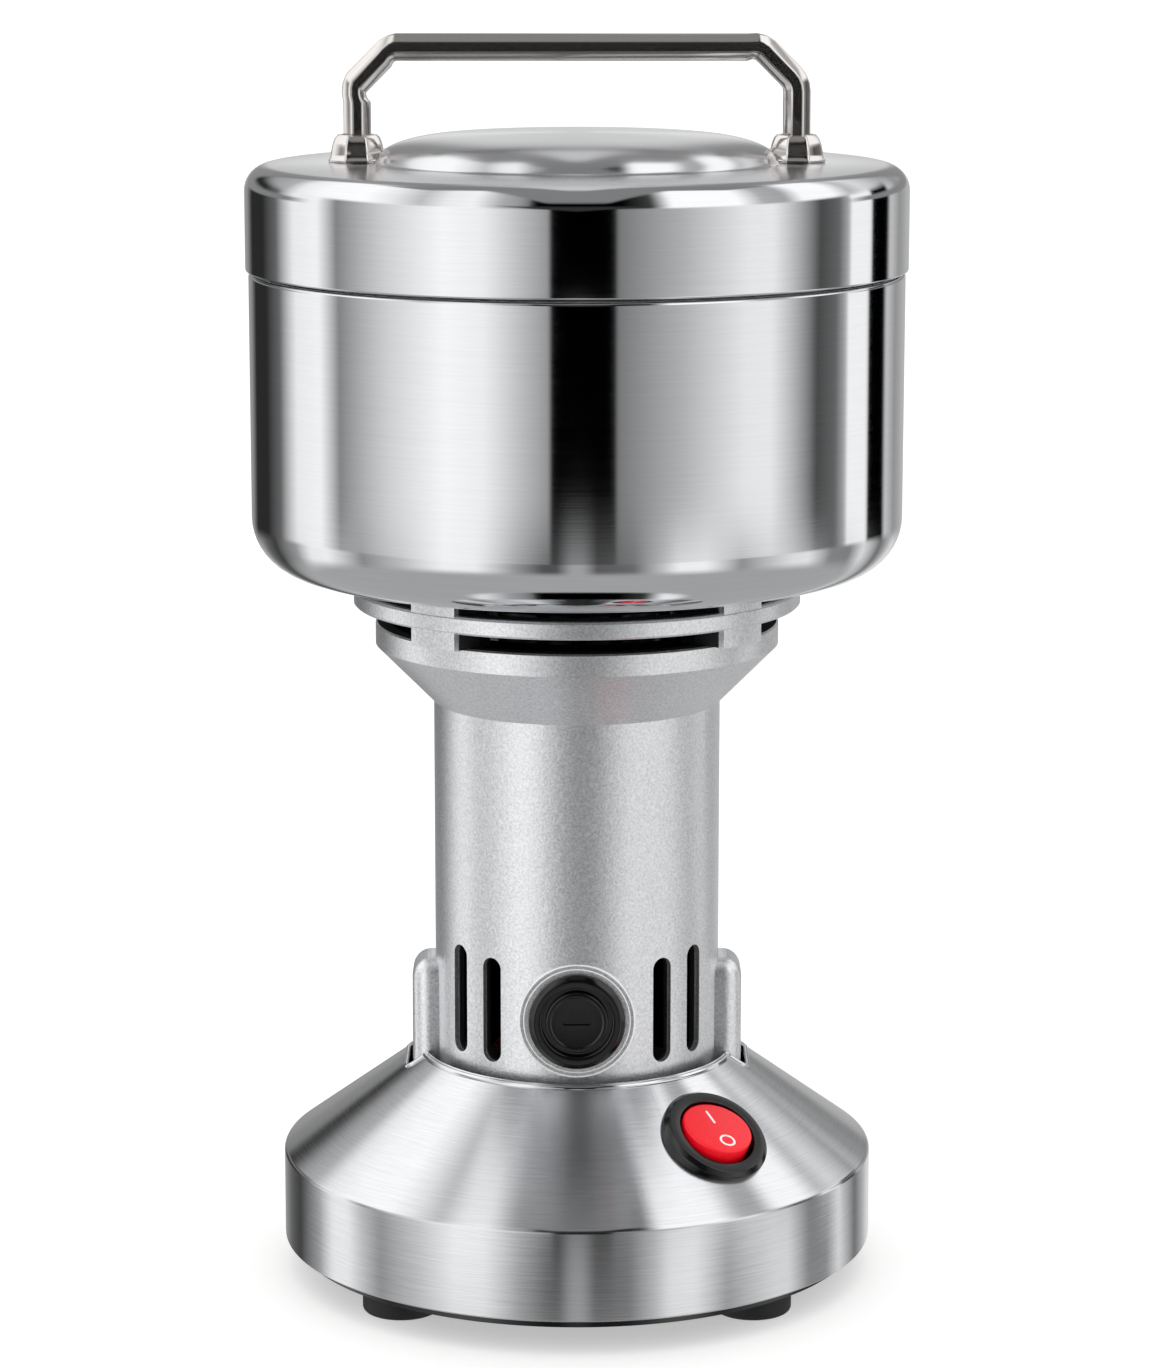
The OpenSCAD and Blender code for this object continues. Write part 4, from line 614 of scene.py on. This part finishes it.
# gives every turned surface of a cut mesh the shading of a true turned surface; an upright face whose
# corners lie at different radii is flat, and keeps its own
def shadeTurned(piece, tangentLimit=0.06, uprightLimit=0.01, radiusSpread=0.1):
    mesh = piece.data
    normals = [Vector(corner.vector) for corner in mesh.corner_normals]
    for face in mesh.polygons:
        outward = Vector((face.center.x, face.center.y, 0)).normalized()
        radii = [mesh.vertices[v].co.xy.length for v in face.vertices]
        flat = abs(face.normal.z) < uprightLimit and max(radii) - min(radii) > radiusSpread * mm
        if flat or abs(face.normal.dot(upAxis.cross(outward))) > tangentLimit:
            continue
        radial = face.normal.dot(outward)
        for corner in face.loop_indices:
            place = mesh.vertices[mesh.loops[corner].vertex_index].co
            here = Vector((place.x, place.y, 0)).normalized()
            normals[corner] = (here * radial + upAxis * face.normal.z).normalized()
    mesh.normals_split_custom_set(normals)


# a node with its sharp edges broken, in place of the node; weighted normals keep its flat faces even
def softenNode(name, newName, body, width, sharp=28):
    bm = copyNode(name)
    edges = [e for e in bm.edges if e.is_manifold and math.degrees(e.calc_face_angle(0)) > sharp]
    roundEdges(bm, edges, width, segments=2, clamp_overlap=True)
    bmesh.ops.dissolve_degenerate(bm, dist=mergeGap, edges=bm.edges)
    weights = addPiece(newName, bm, body, slotOf[name], (name,)).modifiers.new("evenShade", "WEIGHTED_NORMAL")
    weights.keep_sharp = True
    weights.weight = 90


# the lid: one spun shell with a raised middle, a rounded shoulder and a rolled hem
lid = {
    "radius": 55.2, "bottom": 172.5, "top": 190.15, "sheet": 0.8, "shoulder": 4.2, "hem": 0.35,
    "fallRadius": 42.0, "fall": 0.4, "fallBend": 20, "panelFoot": 34.0, "footWidth": 0.6, "panelTop": 20.0,
    "panelRise": 4.5, "dome": 0.4, "domeHalfway": 0.75, "footBend": 1.0, "shoulderSteps": 14,
}


# the top line of the raised middle, from the crown out to the foot: a shallow dome and a quarter ellipse
def panelLine(lower=0):
    s = lid
    width = s["panelFoot"] - s["footWidth"] - s["panelTop"]
    base = s["top"] - lower
    line = [(0, base + s["panelRise"] + s["dome"]),
            (s["panelTop"] / 2, base + s["panelRise"] + s["domeHalfway"] * s["dome"])]
    for i in range(s["shoulderSteps"]):
        a = math.pi / 2 * (1 - i / s["shoulderSteps"])
        line.append((s["panelTop"] + width * math.cos(a), base + s["panelRise"] * math.sin(a)))
    return line + [(s["panelFoot"], base, s["footBend"])]


def makeLidShell():
    s = lid
    rim = s["top"] - s["fall"]
    t = s["sheet"]
    outer = panelLine() + [
        (s["fallRadius"], s["top"], s["fallBend"]), (s["radius"], rim, s["shoulder"]),
        (s["radius"], s["bottom"], s["hem"]),
    ]
    inner = [
        (s["radius"] - t, s["bottom"], s["hem"]), (s["radius"] - t, rim - t, s["shoulder"] - t),
        (s["fallRadius"], s["top"] - t, s["fallBend"]),
    ] + panelLine(t)[::-1]
    bm = turnedBody(outer + inner, closed=False, segments=10, steps=256)
    addPiece("lidShell", bm, "lid", "polished_steel", ("lid_shell",), finish=lidSteel)


# the bowl: spun shell with a big lower corner, a bead at the shoulder, a neck and three lugs
bowl = {
    "radius": 54.7, "bottom": 122.1, "shoulder": 172.2, "sheet": 1.0, "corner": 9.2, "bead": 0.8,
    "neckRadius": 51.6, "neckTop": 182.0, "holeRadius": 8.5, "edge": 0.3, "neckEdge": 0.4, "innerBend": 0.6,
    "lugTop": 179.5, "lugHeight": 2, "lugReach": 1.1, "lugHalfAngle": 10,
}


def makeBowl():
    s = bowl
    t = s["sheet"]
    inside = s["radius"] - t
    neckInside = s["neckRadius"] - t
    bm = turnedBody([
        (s["holeRadius"], s["bottom"], s["edge"]), (s["radius"], s["bottom"], s["corner"]),
        (s["radius"], s["shoulder"], s["bead"]), (s["neckRadius"], s["shoulder"], s["edge"]),
        (s["neckRadius"], s["neckTop"], s["neckEdge"]), (neckInside, s["neckTop"], s["neckEdge"]),
        (neckInside, s["shoulder"] - t, s["neckEdge"]), (inside, s["shoulder"] - t, s["innerBend"]),
        (inside, s["bottom"] + t, s["corner"] - t), (s["holeRadius"], s["bottom"] + t, s["edge"]),
    ], segments=12, steps=256)
    low = s["lugTop"] - s["lugHeight"]
    root = s["neckRadius"] - t / 2
    tip = s["neckRadius"] + s["lugReach"]
    for angle in (0, 120, 240):
        lug = bmesh.new()
        drawOutline(lug, [(root, low), (tip, low, s["edge"]), (tip, s["lugTop"], s["edge"]),
                          (root, s["lugTop"])], segments=3)
        sweepFace(lug, math.radians(2 * s["lugHalfAngle"]), steps=10)
        join(bm, lug, turned(math.radians(angle - 90 - s["lugHalfAngle"])))
    addPiece("bowlShell", bm, "housing", "polished_steel", ("bowl",))


# the base cover: brushed shell with a wall, a fold, a cone and a rolled lip that goes round the ears
cover = {
    "radius": 50.6, "bottom": 5.8, "foldZ": 21.25, "fold": 1.0, "sheet": 0.8, "hemWidth": 3.3, "hemEdge": 0.3,
    "openingRadius": 26.3, "openingZ": 38.9, "lip": 0.55,
    "notchHalfWidth": 7.1, "notchReach": 29.3, "notchBead": 0.45, "notchCorner": 1.6, "notchCut": 30,
    "beadSink": 0.1, "switchHole": 8.15, "switchCut": 16, "glandHole": 5.15, "glandCut": 8, "glandZ": 13.0,
}
coneSlope = math.atan((cover["openingZ"] - cover["foldZ"]) / (cover["radius"] - cover["openingRadius"]))
switch = {
    "share": 0.465, "angle": 37.25, "twist": -6,
    "bezel": 9.2, "bezelHeight": 1.6, "bezelFall": 0.75, "faceRadius": 8.45, "inner": 6.6, "body": 8,
    "depth": 12, "wall": 1.2, "skirt": 0.75, "innerEdge": 0.2, "faceEdge": 0.25, "edge": 0.4,
    "rocker": 6, "pivotDepth": 2.4, "rockerFace": 3.1, "rockerTilt": 9.5, "rockerEdge": 0.45,
    "rockerFoot": -1.5, "footEdge": 0.2, "keel": 5, "keelFoot": -3.4, "keelEdge": 0.3,
    "pinReach": 7.3, "pinRadius": 0.95,
    "ringInner": 1.0, "ringOuter": 1.38, "ringY": -3.4, "ink": 0.05,
    "bar": (0.4, 3.1, 0.1), "barY": 2.5, "barEdge": 0.15,
}


# height of the cone's face over a place, in mm
def coneHeight(x, y):
    return cover["openingZ"] - (math.hypot(x, y) - cover["openingRadius"]) * math.tan(coneSlope)


# the switch's own frame: Z out of the cone, Y up the slope, zero on the cone's face
def switchPlace():
    reach = cover["openingRadius"] + (cover["radius"] - cover["openingRadius"]) * switch["share"]
    return (turned(math.radians(switch["angle"])) @ shift(0, -reach, coneHeight(0, reach))
            @ Matrix.Rotation(coneSlope, 4, "X") @ turned(math.radians(switch["twist"])))


def makeBaseCover():
    s = cover
    t = s["sheet"]
    sink = t / math.cos(coneSlope)
    foldSink = s["foldZ"] - sink + t * math.tan(coneSlope)
    shell = turnedBody([
        (s["radius"] - s["hemWidth"], s["bottom"]), (s["radius"], s["bottom"], s["hemEdge"]),
        (s["radius"], s["foldZ"], s["fold"]), (s["openingRadius"], s["openingZ"]),
        (s["openingRadius"], s["openingZ"] - sink), (s["radius"] - t, foldSink, s["fold"] - t),
        (s["radius"] - t, s["bottom"] + t), (s["radius"] - s["hemWidth"], s["bottom"] + t),
    ], segments=8, steps=256)
    lip = bmesh.new()
    middle = shift(s["openingRadius"] + s["lip"], 0, s["openingZ"] - s["lip"])
    bmesh.ops.create_circle(lip, radius=s["lip"] * mm, segments=20, matrix=middle @ lieDown)
    turnOutline(lip, 256)
    for side in (-1, 1):
        size = (s["notchReach"], 2 * s["notchHalfWidth"], s["notchCut"])
        place = (side * s["notchReach"] / 2, 0, s["foldZ"] + s["notchCut"] / 2)
        shell = cutAway(shell, roundedBlock(size, place, s["notchCorner"]))
        lip = cutAway(lip, roundedBlock(size, place, s["notchCorner"]))
    holes = (
        (s["switchHole"], s["switchCut"], switchPlace()),
        (s["glandHole"], s["glandCut"], shift(0, s["radius"], s["glandZ"]) @ lieDown),
    )
    for radius, depth, place in holes:
        hole = bmesh.new()
        bmesh.ops.create_cone(hole, cap_ends=True, segments=48, radius1=radius * mm, radius2=radius * mm,
                              depth=depth * mm, matrix=place)
        shell = cutAway(shell, hole)
    addPiece("baseCover", shell, "housing", "brushed_steel", ("base_cover",))
    for side in (-1, 1):
        join(lip, notchBead(side))
    addPiece("baseCoverLip", lip, "housing", "brushed_steel", finish=finishes["polished_steel"][0])


# the rolled edge round one ear notch, from the opening out and back, on the cone
def notchBead(side, steps=6):
    s = cover
    w = s["notchHalfWidth"]
    c = s["notchCorner"]
    start = math.sqrt(s["openingRadius"] ** 2 - w ** 2)
    plan = [(start, -w)]
    for middle, begin in ((c - w, -90), (w - c, 0)):
        for i in range(steps + 1):
            a = math.radians(begin + 90 * i / steps)
            plan.append((s["notchReach"] - c + c * math.cos(a), middle + c * math.sin(a)))
    plan.append((start, w))
    return sweptBar([(side * x, y, coneHeight(x, y) - s["beadSink"]) for x, y in plan], s["notchBead"])


halfSide = math.radians(22.5)  # from the middle of an octagon's side to its corner


# the handle: one octagonal bar, from the right foot up, over and down to the left foot
handle = {
    "legX": 36.4, "foot": 190.15, "across": 4.5, "barZ": 208.95, "corner": 5.8, "bend": 3.6, "edge": 0.22,
    "ridge": 35,  # edges turned by more than this, in degrees, are rounded
}


def makeHandle():
    s = handle
    bendRun = s["bend"] * math.tan(halfSide)
    legTop = s["barZ"] - s["corner"] - bendRun
    topX = s["legX"] - s["corner"] - bendRun
    bm = bmesh.new()
    radius = s["across"] / 2 / math.cos(halfSide)
    ring = bmesh.ops.create_circle(bm, segments=8, radius=radius * mm,
                                   matrix=shift(s["legX"], 0, s["foot"]) @ turned(halfSide))["verts"]
    live = list(ring) + list({e for v in ring for e in v.link_edges})
    bends = (
        (s["legX"] - s["bend"], legTop), (topX, s["barZ"] - s["bend"]),
        (-topX, s["barZ"] - s["bend"]), (s["bend"] - s["legX"], legTop),
    )
    leg = legTop - s["foot"]
    slant = math.hypot(s["corner"] - bendRun, s["corner"] - bendRun)
    for i, length in enumerate((leg, slant, 2 * topX, slant, leg)):
        a = math.radians(45 * i)
        step = Vector((-math.sin(a), 0, math.cos(a))) * length * mm
        live = bmesh.ops.spin(bm, geom=live, cent=(0, 0, 0), axis=upAxis, dvec=step, angle=0,
                              steps=1)["geom_last"]
        if i < len(bends):
            x, z = bends[i]
            live = bmesh.ops.spin(bm, geom=live, cent=(x * mm, 0, z * mm), axis=(0, -1, 0), dvec=(0, 0, 0),
                                  angle=math.radians(45), steps=3)["geom_last"]
    bmesh.ops.holes_fill(bm, edges=bm.edges, sides=8)
    bmesh.ops.recalc_face_normals(bm, faces=bm.faces)
    ridges = [e for e in bm.edges if e.is_manifold and math.degrees(e.calc_face_angle(0)) > s["ridge"]]
    roundEdges(bm, ridges, s["edge"], segments=3)
    addPiece("lidHandle", bm, "lid", "chrome_handle", ("lid_handle",), sharpAngle=25)


# the ferrules: eight-sided bells with a thin foot flange, one round each leg
ferrule = {
    # (radius across corners, height) rings up the outside, over the top and down the bore
    "rings": ((5.1, 0.05), (5.15, 0.35), (4.8, 0.65), (4.7, 1.5), (4.4, 2.9), (4.0, 3.9), (3.5, 4.45),
              (3.0, 4.5), (2.8, 4.2), (2.8, 0.05)),
    # edges turned by more than the ridge angle are rounded where they rise by more than minRise
    "edge": 0.28, "ridge": 25, "minRise": 0.1, "bedDepth": 1,
}


def makeFerrules():
    whole = bmesh.new()
    for side in (-1, 1):
        bm = bmesh.new()
        live = None
        for radius, height in ferrule["rings"]:
            place = shift(side * handle["legX"], 0, handle["foot"] + height) @ turned(halfSide)
            ring = bmesh.ops.create_circle(bm, segments=8, radius=radius * mm, matrix=place)["verts"]
            edges = list({e for v in ring for e in v.link_edges})
            if live:
                bmesh.ops.bridge_loops(bm, edges=live + edges)
            else:
                first = edges
            live = edges
        bmesh.ops.bridge_loops(bm, edges=live + first)
        bmesh.ops.recalc_face_normals(bm, faces=bm.faces)
        upright = [e for e in bm.edges
                   if e.is_manifold and abs(e.verts[0].co.z - e.verts[1].co.z) > ferrule["minRise"] * mm
                   and math.degrees(e.calc_face_angle(0)) > ferrule["ridge"]]
        roundEdges(bm, upright, ferrule["edge"], segments=3)
        below = lid["top"] - ferrule["bedDepth"]
        raised = turnedBody([(0, below)] + [corner[:2] for corner in panelLine()]
                            + [(lid["panelFoot"], below)], closed=False)
        join(whole, cutAway(bm, raised))
    addPiece("handleFerrules", whole, "lid", "chrome_handle", ("handle_ferrules",), sharpAngle=45)


# a brush holder with its screwed cap, at the front and at the rear
brush = {
    "axisZ": 49.4, "bossY": 25.0, "faceY": 26.3, "flange": 8.07, "flangeBack": 0.5, "flat": 7.25,
    "recess": 5.9, "capTop": 1.1, "holder": 6.6, "bore": 4.0, "thread": 0.45, "tipY": 11.2, "edge": 0.3,
    "flangeFoot": 0.1, "flangeEdge": 0.35, "flatEdge": 0.6, "recessEdge": 0.25,
    "cap": 5.2, "capRing": 0.75, "capStep": 0.95, "capSink": 0.12, "capEdge": 0.2, "stem": 4.35,
    "stemLength": 3.9, "slot": (4.7, 0.85, 1.2), "markRadius": 1.7, "markCut": 2,
}


def makeBrushGear(side, name):
    s = brush
    face = s["faceY"]
    back = face - s["capTop"]
    stemEnd = back - s["stemLength"]
    thread = s["bore"] + s["thread"]
    place = turned(math.pi if side > 0 else 0) @ shift(0, 0, s["axisZ"]) @ lieDown
    holder = turnedBody([
        (s["bore"], s["tipY"]), (s["holder"], s["tipY"], s["edge"]), (s["holder"], s["bossY"]),
        (s["flange"], s["bossY"], s["flangeFoot"]), (s["flange"], face - s["flangeBack"], s["flangeEdge"]),
        (s["flat"], face, s["flatEdge"]), (s["recess"], face, s["recessEdge"]), (s["recess"], back),
        (thread, back), (thread, stemEnd), (s["bore"], stemEnd),
    ], steps=96, segments=5)
    holder.transform(place)
    addPiece(name + "BrushHolder", holder, "housing", "black_plastic", (name + "_brush_holder",))
    cap = turnedBody([
        (0, stemEnd), (s["stem"], stemEnd, s["edge"]), (s["stem"], back), (s["cap"], back),
        (s["cap"], face, s["edge"]), (s["cap"] - s["capRing"], face, s["capEdge"]),
        (s["cap"] - s["capStep"], face - s["capSink"], s["capEdge"]), (0, face - s["capSink"]),
    ], closed=False, steps=96, segments=4)
    cap = cutAway(cap, roundedBlock(s["slot"], (0, 0, face), s["edge"]))
    halfRound = bmesh.new()
    low = face - s["capTop"] / 4
    top = back + s["markCut"]
    drawOutline(halfRound, [(0, low), (s["markRadius"], low), (s["markRadius"], top), (0, top)])
    sweepFace(halfRound, math.pi, steps=24)
    cap = cutAway(cap, halfRound)
    cap.transform(place)
    addPiece(name + "BrushCap", cap, "housing", "black_plastic", (name + "_brush_cap",), finish=satinBlack)


# the switch: bezel and body in one, with the rocker in it
def makeSwitch():
    s = switch
    bm = turnedBody([
        (s["inner"], s["bezelHeight"], s["innerEdge"]), (s["faceRadius"], s["bezelHeight"], s["faceEdge"]),
        (s["bezel"], s["bezelHeight"] - s["bezelFall"], s["edge"]), (s["bezel"], -s["skirt"]),
        (s["body"], -s["skirt"]), (s["body"], -s["depth"], s["edge"]), (0, -s["depth"]),
        (0, s["wall"] - s["depth"]), (s["inner"], s["wall"] - s["depth"]),
    ], steps=128, segments=5)
    bm.transform(switchPlace())
    addPiece("switchHousing", bm, "housing", "black_plastic", ("switch_housing",), finish=satinBlack)
    pivot = (switchPlace() @ shift(0, 0, s["bezelHeight"] - s["pivotDepth"])
             @ Matrix.Rotation(math.radians(-s["rockerTilt"]), 4, "X"))
    bm = turnedBody([
        (0, s["rockerFace"]), (s["rocker"], s["rockerFace"], s["rockerEdge"]),
        (s["rocker"], s["rockerFoot"], s["footEdge"]), (s["keel"], s["rockerFoot"]),
        (s["keel"], s["keelFoot"], s["keelEdge"]), (0, s["keelFoot"]),
    ], closed=False, steps=128, segments=6)
    join(bm, sweptBar([(-s["pinReach"], 0, 0), (s["pinReach"], 0, 0)], s["pinRadius"]))
    bm.transform(pivot)
    addPiece("rockerButton", bm, "rocker", "red_plastic", ("rocker_button",))
    marks = turnedBody([(s["ringInner"], 0), (s["ringOuter"], 0), (s["ringOuter"], s["ink"]),
                        (s["ringInner"], s["ink"])], steps=48)
    marks.transform(shift(0, s["ringY"], 0))
    join(marks, roundedBlock(s["bar"], (0, s["barY"], 0), s["barEdge"]))
    marks.transform(pivot @ shift(0, 0, s["rockerFace"]))
    addPiece("rockerMarks", marks, "rocker", "white_plastic", finish=printedInk)


# the feet: four moulded rubber feet, each hollow underneath for its screw
feet = {
    "x": 29.4, "y": 27.2, "radius": 6.6, "height": 4.25, "hollow": 3.6, "hollowHeight": 2.38, "bore": 1.8,
    "edge": 0.2, "round": 0.9,
}


def makeFeet():
    s = feet
    whole = bmesh.new()
    for x in (-s["x"], s["x"]):
        for y in (-s["y"], s["y"]):
            foot = turnedBody([
                (s["hollow"], 0, s["edge"]), (s["radius"], 0, s["round"]),
                (s["radius"], s["height"], s["edge"]), (s["bore"], s["height"]),
                (s["bore"], s["hollowHeight"]), (s["hollow"], s["hollowHeight"]),
            ], steps=64, segments=5)
            join(whole, foot, shift(x, y, 0))
    addPiece("rubberFeet", whole, "housing", "black_rubber", ("rubber_feet",))


makeLidShell()
makeBowl()
makeBaseCover()
print("spun shells made")
makeHandle()
makeFerrules()
makeBrushGear(-1, "front")
makeBrushGear(1, "rear")
makeSwitch()
makeFeet()
print("handle, brush gear, switch and feet made")

# the casting: ears with rounded edges, and two beads round each brush hole, painted near white as a highlight
casting = {
    "columnRadius": 24.3, "earInside": 22.9, "earOutside": 28.2, "earHalfWidth": 6, "earFoot": 35.5,
    "earTop": 54.7, "earRound": 3.1, "earClearing": 0.5, "cutterGap": 0.02, "cutterReach": 2,
    # (radius, thickness) of the beads on the face of the brush boss
    "beads": ((9.6, 0.15), (8.85, 0.12)),
}


# what is cleared from the column for one ear
def earCutter(side):
    s = casting
    bm = bmesh.new()
    inner = s["columnRadius"] + s["cutterGap"]
    outer = s["earOutside"] + s["cutterReach"]
    foot = s["earFoot"] + s["earClearing"]
    top = s["earTop"] + s["earClearing"]
    drawOutline(bm, [(inner, foot), (outer, foot), (outer, top), (inner, top)])
    half = math.asin((s["earHalfWidth"] + s["earClearing"]) / inner)
    bmesh.ops.rotate(bm, cent=(0, 0, 0), matrix=Matrix.Rotation(side - half, 3, upAxis), verts=bm.verts)
    sweepFace(bm, 2 * half, steps=16)
    return bm


def roundEar(side):
    s = casting
    middle = ((s["earOutside"] + s["earInside"]) / 2, 0, (s["earTop"] + s["earFoot"]) / 2)
    size = (s["earOutside"] - s["earInside"], 2 * s["earHalfWidth"], s["earTop"] - s["earFoot"])
    bm = plainBlock(size, middle)
    shown = [e for e in bm.edges if any(v.co.x > middle[0] * mm for v in e.verts)
             and any(v.co.z > middle[2] * mm for v in e.verts)]
    roundEdges(bm, shown, s["earRound"], segments=8)
    bm.transform(turned(side))
    return bm


def makeHousing():
    s = casting
    bm = copyNode("motor_housing")
    for side in (0, math.pi):
        bm = cutAway(bm, earCutter(side))
    bmesh.ops.dissolve_degenerate(bm, dist=mergeGap, edges=bm.edges)
    for side in (0, math.pi):
        join(bm, roundEar(side))
    shadeTurned(addPiece("motorHousing", bm, "housing", "silver_paint", ("motor_housing",)))
    beads = bmesh.new()
    for side in (0, math.pi):
        for radius, thickness in s["beads"]:
            bead = bmesh.new()
            bmesh.ops.create_circle(bead, segments=12, radius=thickness * mm,
                                    matrix=shift(radius, 0, brush["bossY"]) @ lieDown)
            turnOutline(bead, 96)
            join(beads, bead, turned(side) @ shift(0, 0, brush["axisZ"]) @ lieDown)
    # marks the beads for the painted highlight in the silver paint
    paintedHighlightLayer = beads.faces.layers.float.new("paintedEdgeHighlight")
    for face in beads.faces:
        face[paintedHighlightLayer] = 1
    addPiece("brushHoleBeads", beads, "housing", "silver_paint")


makeHousing()
softenNode("base_plate", "basePlate", "housing", width=0.25)
softenNode("cord_gland", "cordGland", "housing", width=0.3)
softenNode("lower_blade", "lowerBlade", "rotor", width=0.2)
softenNode("upper_blade", "upperBlade", "rotor", width=0.2)
softenNode("blade_nut", "bladeNut", "rotor", width=0.25)
print("casting dressed, plate, gland and blades softened")


# the floor: a pale sheet lit from below, as on a light table, so that shadows stay faint;
# steel mirrors don't show it, so that they show the studio's strips
def makeFloor():
    bm = bmesh.new()
    bmesh.ops.create_grid(bm, x_segments=2, y_segments=2, size=studio["floorHalf"])
    mesh = bpy.data.meshes.new("studioFloor")
    bm.to_mesh(mesh)
    bm.free()
    floor = putInScene("studioFloor", mesh)
    material, tree, shader = startFinish("palePaper", studio["floorColour"], Roughness=0.7)
    shader.inputs["Emission Color"].default_value = linearColour("#FFFFFF")
    shader.inputs["Emission Strength"].default_value = studio["floorGlow"]
    tree.links.new(tint(tree, grain(tree, size=1.5), "#CBCBCA", "#CFCFCE"), shader.inputs["Base Color"])
    mesh.materials.append(material)
    floor.visible_glossy = False


# the room: soft boxes and dark flags as upright strips round the object, others hung overhead
def lightStudio():
    s = studio
    world = bpy.data.worlds.new("studioRoom")
    bpy.context.scene.world = world
    world.use_nodes = True
    tree = world.node_tree
    tree.nodes.clear()
    parts = addNode(tree, "SeparateXYZ", {0: addNode(tree, "TexCoord").outputs["Generated"]})
    right, back, up = parts.outputs

    def grey(level):
        return (level, level, level, 1)

    # the direction of the round surface that mirrors this part of the room to a camera at some elevation
    def facing(elevation):
        depth = addNode(tree, "Math", {0: math.cos(math.radians(elevation)), 1: back}, operation="SUBTRACT")
        return addNode(tree, "Math", {0: right, 1: depth.outputs[0]}, operation="ARCTAN2").outputs[0]

    # one row of strips, from its stops in degrees
    def strips(angle, stops):
        share = addNode(tree, "Math", {0: angle, 1: 1 / math.pi, 2: 0.5}, operation="MULTIPLY_ADD").outputs[0]
        colours = addNode(tree, "ValToRGB", {0: share})
        setStops(colours.color_ramp, [(at / 180 + 0.5, grey(level)) for at, level in stops])
        return colours.outputs[0]

    # how far a direction lies to either side of another, in radians
    def aside(towards):
        angle = addNode(tree, "Math", {0: right, 1: towards}, operation="ARCTAN2").outputs[0]
        return addNode(tree, "Math", {0: angle}, operation="ABSOLUTE").outputs[0]

    def both(first, second):
        return addNode(tree, "Math", {0: first, 1: second}, operation="MULTIPLY").outputs[0]

    def either(first, second):
        return addNode(tree, "Math", {0: first, 1: second}, operation="MAXIMUM").outputs[0]

    steep = facing(s["baseElevation"])
    overhead = strips(steep, s["overhead"])
    fromBelow = addNode(tree, "VectorMath", {0: overhead, "Scale": s["mirrored"]},
                        operation="SCALE").outputs[0]
    # a soft box straight overhead, wider at the rear, and a wall with a narrow box behind the set
    overTop = aside(up)
    topBox = either(fade(tree, overTop, *s["topBoxSides"]),
                    both(fade(tree, overTop, *s["topBoxRearSides"]), fade(tree, back, *s["topBoxRear"])))
    behind = both(fade(tree, back, *s["behindDepth"]), fade(tree, up, *s["behindHeight"]))
    toRear = aside(back)
    backWall = either(fade(tree, toRear, *s["backWallSides"]), fade(tree, up, *s["backWallHeight"]))
    # a dark flag over the camera, wider towards its top
    front = addNode(tree, "Math", {0: back, 1: -1.0}, operation="MULTIPLY").outputs[0]
    over = addNode(tree, "Math", {0: up, 1: -s["flagFoot"]}, operation="ADD").outputs[0]
    flagEdge = addNode(tree, "Math", {0: aside(front), 1: -s["flagSlope"], 2: over},
                       operation="MULTIPLY_ADD").outputs[0]
    flag = both(fade(tree, flagEdge, *s["flagEdge"]), fade(tree, up, *s["flagHeight"]))
    boxes = strips(facing(s["bowlElevation"]), s["middle"])
    layers = (
        (fade(tree, up, *s["lowFade"]), strips(steep, s["low"])),
        (fade(tree, up, *s["undersideFade"]), grey(s["underside"])),
        (fade(tree, up, *s["nadirFade"]), fromBelow),
        (fade(tree, up, *s["overheadFade"]), overhead),
        (both(fade(tree, up, *s["topBoxFade"]), topBox), grey(s["topBox"])),
        (both(behind, backWall), grey(s["backWall"])),
        (both(behind, fade(tree, toRear, *s["backBoxSides"])), grey(s["backBox"])),
        (both(flag, fade(tree, back, *s["flagDepth"])), grey(s["flag"])),
    )
    for where, what in layers:
        boxes = addNode(tree, "Mix", {"Factor": where, 6: boxes, 7: what}, data_type="RGBA").outputs[2]
    glows = [addNode(tree, "Background", {0: colour, 1: strength}).outputs[0] for colour, strength in
             ((boxes, s["gain"]), (grey(1), s["fill"]), (grey(1), s["backdrop"]))]
    path = addNode(tree, "LightPath")
    shown = glows[0]
    for ray, glow in zip(("Is Diffuse Ray", "Is Camera Ray"), glows[1:]):
        shown = addNode(tree, "MixShader", {0: path.outputs[ray], 1: shown, 2: glow}).outputs[0]
    addNode(tree, "OutputWorld", {0: shown})
    light = bpy.data.lights.new("overheadSoftbox", "AREA")
    light.shape = "DISK"
    light.size = s["softboxSize"]
    light.energy = s["softboxPower"]
    softbox = putInScene("overheadSoftbox", light)
    softbox.location = s["softboxPlace"]
    softbox.visible_glossy = False


def placeCamera():
    lens = bpy.data.cameras.new("productCamera")
    lens.lens = camera["lens"]
    lens.sensor_width = camera["sensor"]
    lens.clip_start = camera["clipStart"]
    shot = putInScene("productCamera", lens)
    shot.location = camera["place"]
    shot.rotation_euler = (math.radians(90 - camera["tiltDown"]), 0, 0)
    bpy.context.scene.camera = shot


makeFloor()
lightStudio()
placeCamera()
bpy.context.scene.view_settings.view_transform = "Standard"
print("studio lit")

bpy.context.view_layer.update()
